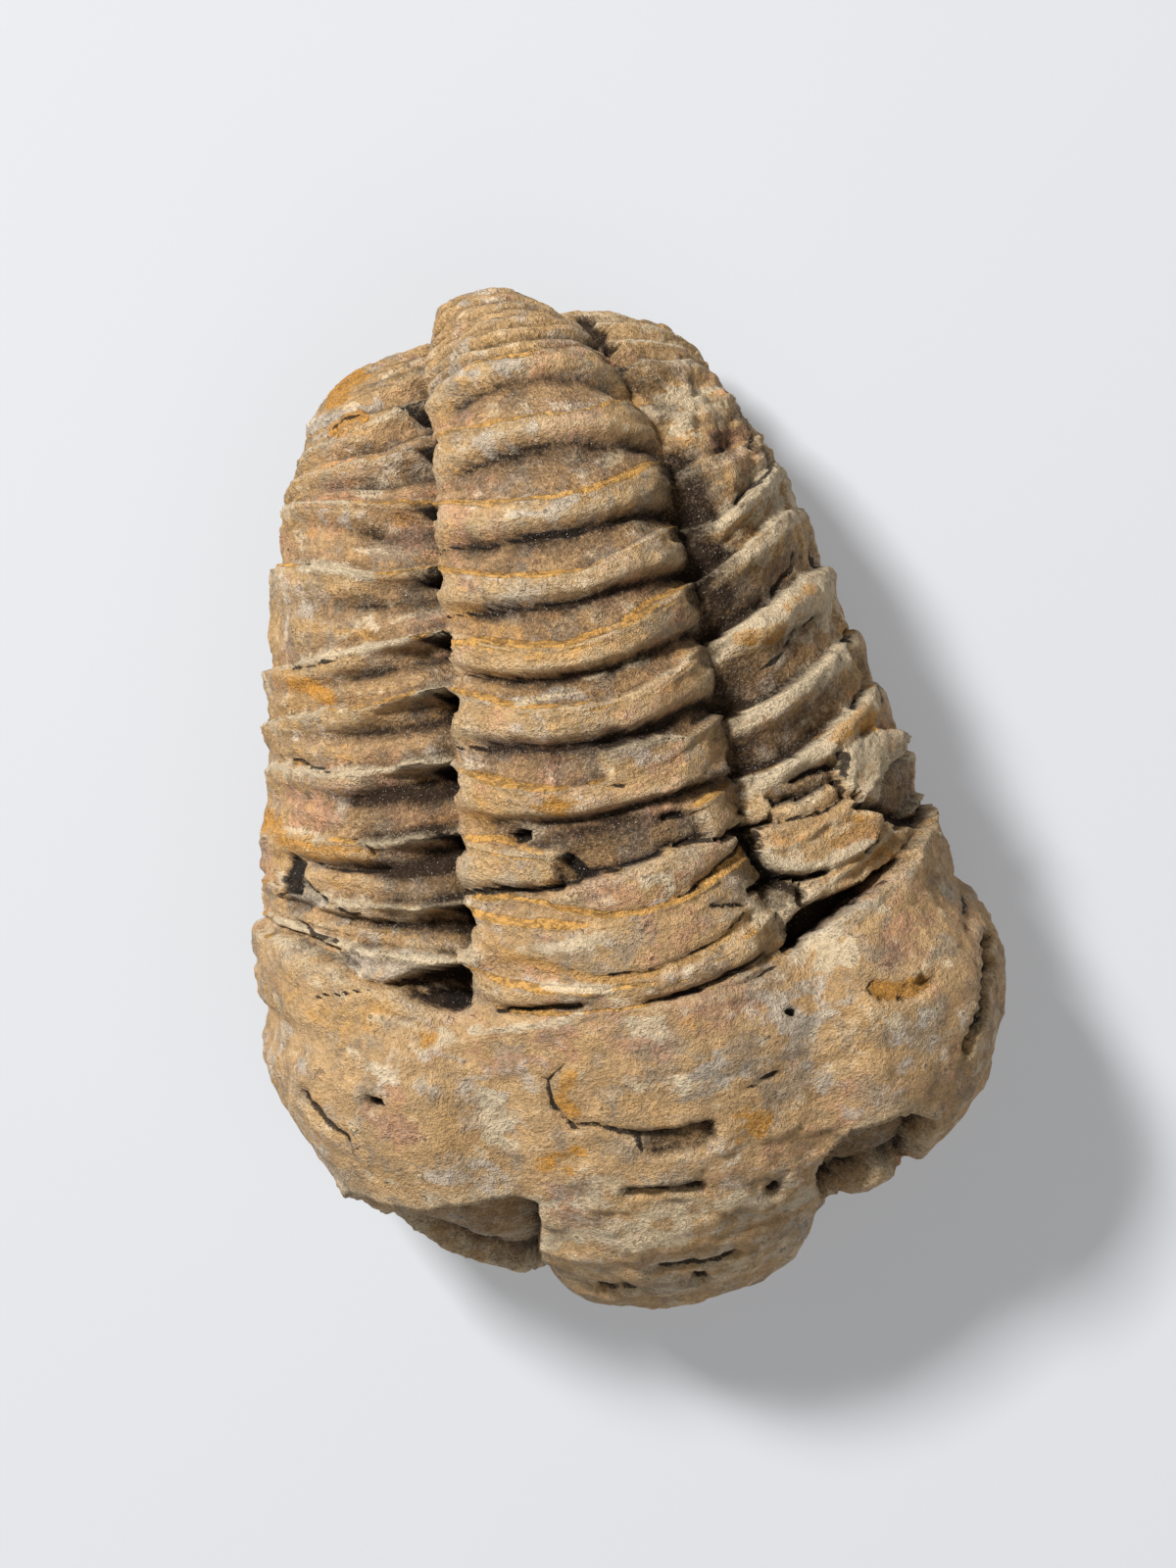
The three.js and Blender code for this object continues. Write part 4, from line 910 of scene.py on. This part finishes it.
def cut_cracks(skin, x, y):
    """Cracks cut down, less deep where they are thin, and drawn dark with a painted shadow line."""
    for half_width, depth, line in CRACKS:
        distance = line_distance(x, y, line)
        inside = (1 - smoothstep(distance, half_width * 0.5, half_width + 0.2)) * skin.seen
        skin.relief -= depth * inside * min(1, half_width / 0.2)
        skin.draw("crack", distance, half_width, skin.seen)


def lay_stains(skin, x, y):
    """Ragged stains, and smooth painted shade without the stains' patchy break-up."""
    patchy = smoothstep(rough(skin.flow * (0.7, 1.4, 1), 1.2, 57), -0.5, 0.3)
    x, y = x + 0.6 * rough(skin.base, 2.0, 61), y + 0.6 * rough(skin.base, 2.0, 67)
    for tint, stains in STAINS.items():
        for strength, soft, outline in stains:
            inside = smoothstep(outline_distance(x, y, outline), -soft, soft * 0.6) * skin.seen
            skin.mark(tint, strength * inside * (patchy if tint != "hollow" else 1))


def sculpt_breaks(skin):
    """The broken ring, the plates beside it, and the cracks and stains of the whole stone."""
    x, y = plan_place(skin.points())
    x, y = x + 0.12 * rough(skin.base, 1.2, 41), y + 0.12 * rough(skin.base, 1.2, 47)
    for step in (cut_plates, lay_flakes, raise_crests, cut_cracks, lay_stains):
        step(skin, x, y)


def sculpt_weathering(skin):
    """Rough stone everywhere: slow dents, thin broken layers, painted shade in sunken places, and wear
    with a painted highlight on raised edges.
    """
    strength = lerp(0.7, 1.0, skin.back)
    crumbly = smoothstep(skin.side, 0.95, 1.1) * skin.back
    crumbly = crumbly * along(CRUMBLY_ALONG, skin.t)
    smooth_slab = 1 - 0.4 * smoothstep(-skin.t, 0, 1)
    skin.height += strength * 0.22 * smooth_slab * rough(skin.base, 5.0, 71)
    skin.height += strength * (0.1 + 0.25 * crumbly) * rough(skin.base, 1.6, 83)
    skin.height += strength * 0.08 * rough(skin.flow * (0.3, 1, 0.3), 0.8, 87, 2)
    for i, (size, level) in enumerate(SHELL_LAYERS):
        layer = rough(skin.flow * (0.7, 1.3, 1), size, 97 + 4 * i)
        thickness = LAYER_THICKNESS * size * strength
        skin.height += smoothstep(layer, level - 0.02, level + 0.02) * thickness
    skin.mark("cream", 0.4 * smoothstep(rough(skin.flow * (0.6, 1.8, 1), 2.2, 111), 0.1, 0.6))
    skin.mark("slate", 0.45 * smoothstep(rough(skin.flow * (0.7, 1.5, 1), 3.0, 121), 0.1, 0.6))
    # Painted light: cream over the front of the head, which faces away from the key light
    skin.mark("cream", 0.35 * smoothstep(-skin.t, 8, 14) * skin.back)
    skin.mark("rust", 0.5 * smoothstep(rough(skin.base, 4.0, 131), 0.0, 0.5))
    skin.mark("gold", 0.4 * smoothstep(rough(skin.flow * (0.6, 1.4, 1), 3.0, 141), 0.0, 0.6))
    # Painted shade in sunken places, and wear with a painted highlight on raised edges
    height = skin.height + skin.relief
    sunk = blurred(height, SHADE_AND_WEAR_BLURS) - height
    skin.mark("hollow", 0.5 * smoothstep(sunk, 0.1, 0.6) * skin.back)
    skin.mark("worn", smoothstep(-sunk, 0.08, 0.4))


# ------------------------------------------------------------------------------ the mesh

def mesh_lines():
    """The lines t that carry the rows of the mesh, closest together at the lips."""
    def stretch(stops):
        return np.concatenate([
            np.linspace(start, end, rows, endpoint=False)
            for (start, _), (end, rows) in zip(stops, stops[1:])
        ])
    share = np.linspace(0, 1, SEGMENT_ROWS, endpoint=False)
    share = share - LIP_CROWDING * np.sin(2 * np.pi * share) / (2 * np.pi)
    thorax = np.concatenate([lerp(a, b, share) for a, b in zip(LIPS[1:], LIPS[2:])])
    first = np.linspace(LIPS[0] - 0.25, LIPS[1], 9, endpoint=False)
    return np.concatenate([stretch(HEAD_ROWS), first, thorax, stretch(TAIL_ROWS), [TAIL_ROWS[-1][0]]])


def mesh_angles():
    """Angles round a section, close together on the back."""
    back = np.linspace(0, np.pi, BACK_COLUMNS, endpoint=False)
    belly = np.linspace(np.pi, 2 * np.pi, BELLY_COLUMNS, endpoint=False)
    return np.concatenate([back, belly])


def build_trilobite(look):
    """The whole fossil as one closed mesh, shaped from a sphere of rows and columns."""
    lines, angles = mesh_lines(), mesh_angles()
    skin = Skin(lines, angles)
    for sculpt in (sculpt_rings, sculpt_pits, sculpt_tail, sculpt_slab, sculpt_breaks,
                   sculpt_weathering):
        sculpt(skin)
    points = skin.points() * MM

    shape = bmesh.new()
    bmesh.ops.create_uvsphere(shape, u_segments=len(angles), v_segments=len(lines) + 1, radius=1)
    tints = {name: shape.verts.layers.float.new(name) for name in TINTS}
    flow = shape.verts.layers.float_vector.new("flow")
    for vert in shape.verts:
        row = round(math.acos(max(-1, min(1, vert.co.z))) / math.pi * (len(lines) + 1)) - 1
        column = round(math.atan2(vert.co.y, vert.co.x) / math.tau * len(angles)) % len(angles)
        if 0 <= row < len(lines):
            vert.co = points[row, column]
        else:
            row = min(max(row, 0), len(lines) - 1)
            vert.co = points[row].mean(axis=0)
        vert[flow] = skin.flow[row, column]
        for name, layer in tints.items():
            vert[layer] = skin.tint[name][row, column]
    bmesh.ops.recalc_face_normals(shape, faces=shape.faces)
    for face in shape.faces:
        face.smooth = True
    mesh = bpy.data.meshes.new("trilobite_skin")
    shape.to_mesh(mesh)
    shape.free()
    piece = bpy.data.objects.new("fossil_trilobite", mesh)
    bpy.context.scene.collection.objects.link(piece)
    return piece


# ------------------------------------------------------------------------------ material

class Wire:
    """A shader socket that can be used in Python expressions."""

    def __init__(self, shader, socket):
        self.shader = shader
        self.socket = socket

    def _math(self, operation, *values):
        return self.shader.node("ShaderNodeMath", {"operation": operation}, dict(enumerate(values)))

    def __add__(self, other):
        return self._math("ADD", self, other)

    def __radd__(self, other):
        return self._math("ADD", other, self)

    def __sub__(self, other):
        return self._math("SUBTRACT", self, other)

    def __rsub__(self, other):
        return self._math("SUBTRACT", other, self)

    def __mul__(self, other):
        return self._math("MULTIPLY", self, other)

    def __rmul__(self, other):
        return self._math("MULTIPLY", other, self)

    def ramp(self, low, high):
        """0 below low, 1 above high, smooth between."""
        settings = {"interpolation_type": "SMOOTHSTEP"}
        return self.shader.node("ShaderNodeMapRange", settings, {"Value": self, 1: low, 2: high})


class Shader:
    """Node tree of one material, with a Principled shader at its end."""

    def __init__(self, name):
        self.material = bpy.data.materials.new(name)
        self.material.use_nodes = True
        self.tree = self.material.node_tree
        self.tree.nodes.clear()
        self.surface = self.tree.nodes.new("ShaderNodeBsdfPrincipled")
        end = self.tree.nodes.new("ShaderNodeOutputMaterial")
        self.tree.links.new(self.surface.outputs["BSDF"], end.inputs["Surface"])

    def put(self, socket, value):
        """Links a wire to a socket, or sets the socket's own value."""
        if isinstance(value, Wire):
            self.tree.links.new(value.socket, socket)
        else:
            socket.default_value = value

    def node(self, kind, settings, values, output=0):
        """A node of a kind: its settings first, then its sockets, and the output asked for."""
        made = self.tree.nodes.new(kind)
        for name, value in settings.items():
            setattr(made, name, value)
        for name, value in values.items():
            self.put(made.inputs[name], value)
        return Wire(self, made.outputs[output])

    def mix(self, share, first, second):
        """Colour that lies a share of the way from the first to the second."""
        settings = {"data_type": "RGBA", "clamp_factor": True}
        return self.node("ShaderNodeMix", settings, {0: share, 6: first, 7: second}, output=2)

    def tint(self, name):
        """One of the piece's own tints."""
        settings = {"attribute_type": "GEOMETRY", "attribute_name": name}
        return self.node("ShaderNodeAttribute", settings, {}, output="Fac")

    def noise(self, place, scale, detail=3.0, roughness=0.6):
        """Noise from 0 to 1 with so many bumps in a metre."""
        values = {"Vector": place, "Scale": scale, "Detail": detail, "Roughness": roughness}
        return self.node("ShaderNodeTexNoise", {}, values)


# Streaks in a millimetre across, along and up the body, and the colour of the painted glints on the
# grains
STREAK_SCALE = (0.5, 2.6, 0.5)
GLINT = (0.9, 0.88, 0.83, 1.0)
BUMP_HEIGHT = 0.0004
# Each wash of a tint: how much of it shows at most, and how light it is
WASHES = (("rust", 0.55, 1), ("slate", 0.85, 1), ("gold", 0.7, 1), ("cream", 0.8, 1.2),
          ("amber", 0.85, 1))


def stone_material(look):
    """Weathered brown stone: washed with the sculpt's tints, mottled, streaked and gritty, with painted
    shade in grooves and cracks, painted highlights on raised edges and lips, and painted glints.
    """
    shader = Shader("fossil_stone")
    place = shader.node("ShaderNodeTexCoord", {}, {}, output="Object")
    flow = shader.node("ShaderNodeAttribute", {"attribute_name": "flow"}, {}, output="Vector")
    stretched = shader.node("ShaderNodeVectorMath", {"operation": "MULTIPLY"},
                            {0: flow, 1: STREAK_SCALE})
    broad = shader.noise(place, 170.0)
    blotch = shader.noise(place, 380.0, 5.0, 0.65)
    patch = shader.noise(place, 800.0, 4.0)
    grain = shader.noise(place, 4200.0, 3.0, 0.8)
    grit = shader.noise(place, 11000.0, 1.0)
    streak = shader.noise(stretched, 1.0, 5.0, 0.7)
    speck = shader.noise(place, 1900.0, 2.0)

    layered = 1 - shader.tint("head") * 0.7
    flake = patch.ramp(0.52, 0.545) * layered
    value = grain.ramp(0.38, 0.62) * 0.26 + grit.ramp(0.35, 0.65) * 0.1
    value = value + streak.ramp(0.38, 0.62) * layered * 0.2 + speck.ramp(0.36, 0.64) * 0.2
    value = value + patch.ramp(0.38, 0.62) * 0.2 + blotch.ramp(0.4, 0.6) * 0.1 + flake * 0.08
    ragged = (patch - 0.5) * 1.8 + (grain - 0.5) * 0.35

    def colour(name, share=1.0):
        """One of the colours of the look, made darker or lighter."""
        return (*(min(1, c * share) for c in getattr(look, name)), 1.0)

    def mottled(name, share=1.0):
        """A colour that runs from dark to light with the stone's grain and streaks."""
        light = min(1.6, 0.8 / max(getattr(look, name)))
        return shader.mix(value, colour(name, 0.4 * share), colour(name, light * share))

    def washed(base, name, most, share):
        """The base with a ragged wash of the tint of that name over it."""
        amount = (shader.tint(name) + ragged).ramp(0.28, 0.75)
        return shader.mix(amount * most, base, mottled(name, share))

    # Rings in the band colour, and the half rings darker, partly as painted shade
    base = shader.mix(shader.tint("band"), mottled("half_ring"), mottled("ring"))
    base = shader.mix(shader.tint("head") * 0.85, base, mottled("head"))
    base = shader.mix(broad.ramp(0.5, 0.64) * 0.2, base, mottled("gold"))
    base = shader.mix((1 - blotch.ramp(0.38, 0.5)) * 0.5, base, mottled("slate", 0.7))
    base = shader.mix(blotch.ramp(0.53, 0.64) * 0.45, base, mottled("head", 1.2))
    for name, most, share in WASHES:
        base = washed(base, name, most, share)
    # Raised edges lightened towards cream: wear, and a painted highlight
    worn = shader.tint("worn") * grain.ramp(0.35, 0.6)
    base = shader.mix(worn * 0.5, base, colour("cream"))
    # Golden edges of the shell layers, partly painted highlight on the lit step of each lip
    edge = (shader.tint("edge") + (streak - 0.5) * 0.4 + (grain - 0.5) * 0.3).ramp(0.8, 0.92)
    golden = shader.mix(speck.ramp(0.4, 0.58), colour("edge", 0.5), colour("edge"))
    edge_colour = shader.mix(shader.tint("cream").ramp(0.3, 0.7) * 0.85, golden, colour("cream", 1.1))
    base = shader.mix(edge * 0.9, base, edge_colour)
    # Painted shade and grime in grooves, pits, holes and recesses, broken up by the grain
    dirt_and_shade = shader.tint("hollow") * 1.15 - grain.ramp(0.4, 0.65) * 0.25
    base = shader.mix(dirt_and_shade, base, colour("hollow"))
    # Painted shadow lines: crisp near-black lines in cracks, holes and under band edges
    crack = (shader.tint("crack") + grain * 0.4 + (patch - 0.5) * 0.8).ramp(1.13, 1.25)
    base = shader.mix(crack * 0.92, base, colour("hollow", 0.4))
    flaw = shader.noise(place, 450.0, 3.0) - 0.5
    flaw = (1 - (flaw * flaw * 6000.0).ramp(0.2, 1)) * patch.ramp(0.56, 0.62)
    base = shader.mix(flaw * 0.5, base, colour("hollow"))
    base = shader.mix((1 - grit.ramp(0.26, 0.34)) * 0.5, base, colour("hollow"))
    # Painted glints: pale specks where grains would catch the light
    base = shader.mix(grit.ramp(0.7, 0.76) * 0.85, base, GLINT)
    shader.put(shader.surface.inputs["Base Color"], base)
    shader.put(shader.surface.inputs["Roughness"], 0.9 - 0.3 * grain)
    shader.surface.inputs["Specular IOR Level"].default_value = 0.3

    height = grain - flaw * 0.3 + patch * 0.4 + speck * 0.7 + flake * 0.3 + grit * 0.3
    height = height + streak * layered * 0.6 - crack * 0.6 + edge * 0.4
    values = {"Strength": 0.9, "Distance": BUMP_HEIGHT, "Height": height}
    bump = shader.node("ShaderNodeBump", {}, values, output="Normal")
    shader.put(shader.surface.inputs["Normal"], bump)
    return shader.material


# -------------------------------------------------------------------------------- add-on

def colour_property(name, description, rgb):
    """A colour property from a display colour of 0 to 255."""
    linear = tuple((c / 255) ** 2.2 for c in rgb)
    return FloatVectorProperty(name=name, description=description, default=linear, subtype="COLOR",
                               size=3, min=0.0, max=1.0)


class FOSSIL_PG_look(PropertyGroup):
    """Colours of the stone, with the dark colour of the painted shade in its grooves."""

    ring: colour_property("Rings", "Raised bands of the rings and ribs", (197, 159, 110))
    # The half rings' darker colour is partly painted shade cast by the bands
    half_ring: colour_property("Half rings", "Darker stone between the bands", (170, 136, 98))
    head: colour_property("Head", "Worn slab over the head", (234, 190, 136))
    rust: colour_property("Rust", "Reddish brown stain", (184, 134, 106))
    slate: colour_property("Slate", "Grey stone under the shell", (186, 172, 154))
    gold: colour_property("Gold", "Yellow brown stain", (216, 162, 88))
    # Partly painted highlight on the lit steps of the lips
    edge: colour_property("Shell edges", "Thin edges of the shell layers", (236, 176, 92))
    amber: colour_property("Amber", "Bright ochre stain", (226, 158, 62))
    cream: colour_property("Cream", "Pale crust", (230, 208, 172))
    # Dark colour of the painted shade in grooves, pits, holes and cracks, mixed with grime
    hollow: colour_property("Hollows", "Dirt in cracks and grooves", (52, 38, 24))


class FOSSIL_PG_stage(PropertyGroup):
    """Floor, light and camera."""

    floor_size: FloatProperty(name="Floor", description="Side of the square floor", default=3.0,
                              unit="LENGTH", min=0.5)
    floor: colour_property("Floor colour", "Pale matt floor", (165, 167, 170))
    eye_height: FloatProperty(name="Eye height", description="Camera height above the floor",
                              default=PLAN_EYE * MM, unit="LENGTH", min=0.1)
    view_height: FloatProperty(name="View height", description="Length the picture's long side shows",
                               default=0.1, unit="LENGTH", min=0.02)
    turn: FloatProperty(name="Turn", description="Turn of the picture about the line of sight",
                        default=math.radians(-10), unit="ROTATION")
    key_energy: FloatProperty(name="Key light", description="Power of the main light", default=15.0,
                              unit="POWER", min=0.0)
    fill_energy: FloatProperty(name="Fill light", description="Power of the soft overhead light",
                               default=2.2, unit="POWER", min=0.0)


class FOSSIL_OT_trilobite(Operator):
    """Build the curled trilobite as one piece of stone"""

    bl_idname = "fossil.trilobite"
    bl_label = "Trilobite"

    def execute(self, context):
        look = context.scene.fossil_look
        piece = build_trilobite(look)
        piece.data.materials.append(stone_material(look))
        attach(piece, "root")
        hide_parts("trilobite")
        return {"FINISHED"}


class FOSSIL_OT_stage(Operator):
    """Build the pale floor, the lights and the camera"""

    bl_idname = "fossil.stage"
    bl_label = "Stage"

    def execute(self, context):
        settings = context.scene.fossil_stage
        build_floor(settings)
        build_lights(context.scene, settings)
        build_camera(context.scene, settings)
        return {"FINISHED"}


FLOOR_GLOW = 0.6
# Direction, distance and side of each square lamp, in metres, and the pale surround
KEY_LIGHT = ((-0.4, 0.51, 0.77), 1.0, 0.18)
FILL_LIGHT = ((0.25, -0.6, 1.0), 1.2, 1.0)
SURROUND = (1.0, 0.96, 0.91, 1.0)
SURROUND_STRENGTH = 0.17


def build_floor(settings):
    """A plain square floor at the level that the fossil rests on."""
    shape = bmesh.new()
    bmesh.ops.create_grid(shape, x_segments=1, y_segments=1, size=settings.floor_size / 2)
    mesh = bpy.data.meshes.new("floor")
    shape.to_mesh(mesh)
    shape.free()
    floor = bpy.data.objects.new("floor", mesh)
    bpy.context.scene.collection.objects.link(floor)
    shader = Shader("floor")
    shader.surface.inputs["Base Color"].default_value = (*settings.floor, 1.0)
    shader.surface.inputs["Roughness"].default_value = 0.9
    shader.surface.inputs["Emission Color"].default_value = (*settings.floor, 1.0)
    shader.surface.inputs["Emission Strength"].default_value = FLOOR_GLOW
    mesh.materials.append(shader.material)


def add_area_light(name, direction, distance, side, energy):
    """A square lamp in a direction from the middle of the object, facing it."""
    lamp = bpy.data.lights.new(name, "AREA")
    lamp.shape = "SQUARE"
    lamp.size = side
    lamp.energy = energy
    light = bpy.data.objects.new(name, lamp)
    away = Vector(direction).normalized()
    light.location = Vector((0, 0, PLAN_LEVEL * MM)) + away * distance
    light.rotation_euler = away.to_track_quat("Z", "Y").to_euler()
    bpy.context.scene.collection.objects.link(light)


def build_lights(scene, settings):
    """One key light from the tail's left, a soft one overhead and a pale surround."""
    add_area_light("key_light", *KEY_LIGHT, settings.key_energy)
    add_area_light("fill_light", *FILL_LIGHT, settings.fill_energy)
    world = bpy.data.worlds.new("surround")
    world.use_nodes = True
    background = world.node_tree.nodes["Background"]
    background.inputs["Color"].default_value = SURROUND
    background.inputs["Strength"].default_value = SURROUND_STRENGTH
    scene.world = world
    scene.view_settings.view_transform = "Standard"


def build_camera(scene, settings):
    """A long lens straight above the object, turned so that the tail leans to the left."""
    camera_data = bpy.data.cameras.new("camera")
    reach = settings.eye_height - PLAN_LEVEL * MM
    camera_data.lens = camera_data.sensor_width * reach / settings.view_height
    camera = bpy.data.objects.new("camera", camera_data)
    camera.location = (PLAN_CENTRE[0] * MM, PLAN_CENTRE[1] * MM, settings.eye_height)
    camera.rotation_euler = (0, 0, settings.turn)
    scene.collection.objects.link(camera)
    scene.camera = camera


class FOSSIL_PT_panel(Panel):
    """Settings and steps of the fossil, in the sidebar"""

    bl_label = "Curled fossil trilobite"
    bl_space_type = "VIEW_3D"
    bl_region_type = "UI"
    bl_category = "Fossil"

    def draw(self, context):
        scene = context.scene
        for group in (scene.fossil_look, scene.fossil_stage):
            box = self.layout.box()
            for name in group.bl_rna.properties.keys():
                if name not in {"rna_type", "name"}:
                    box.prop(group, name)
        for operator in OPERATORS:
            self.layout.operator(operator.bl_idname)


OPERATORS = (FOSSIL_OT_trilobite, FOSSIL_OT_stage)
CLASSES = (FOSSIL_PG_look, FOSSIL_PG_stage, *OPERATORS, FOSSIL_PT_panel)


def register():
    """Adds the classes and their settings."""
    for cls in CLASSES:
        bpy.utils.register_class(cls)
    bpy.types.Scene.fossil_look = PointerProperty(type=FOSSIL_PG_look)
    bpy.types.Scene.fossil_stage = PointerProperty(type=FOSSIL_PG_stage)


def unregister():
    """Removes the settings and the classes."""
    del bpy.types.Scene.fossil_stage
    del bpy.types.Scene.fossil_look
    for cls in reversed(CLASSES):
        bpy.utils.unregister_class(cls)


def main():
    register()
    bpy.ops.fossil.trilobite()
    bpy.ops.fossil.stage()


if __name__ == "__main__":
    main()
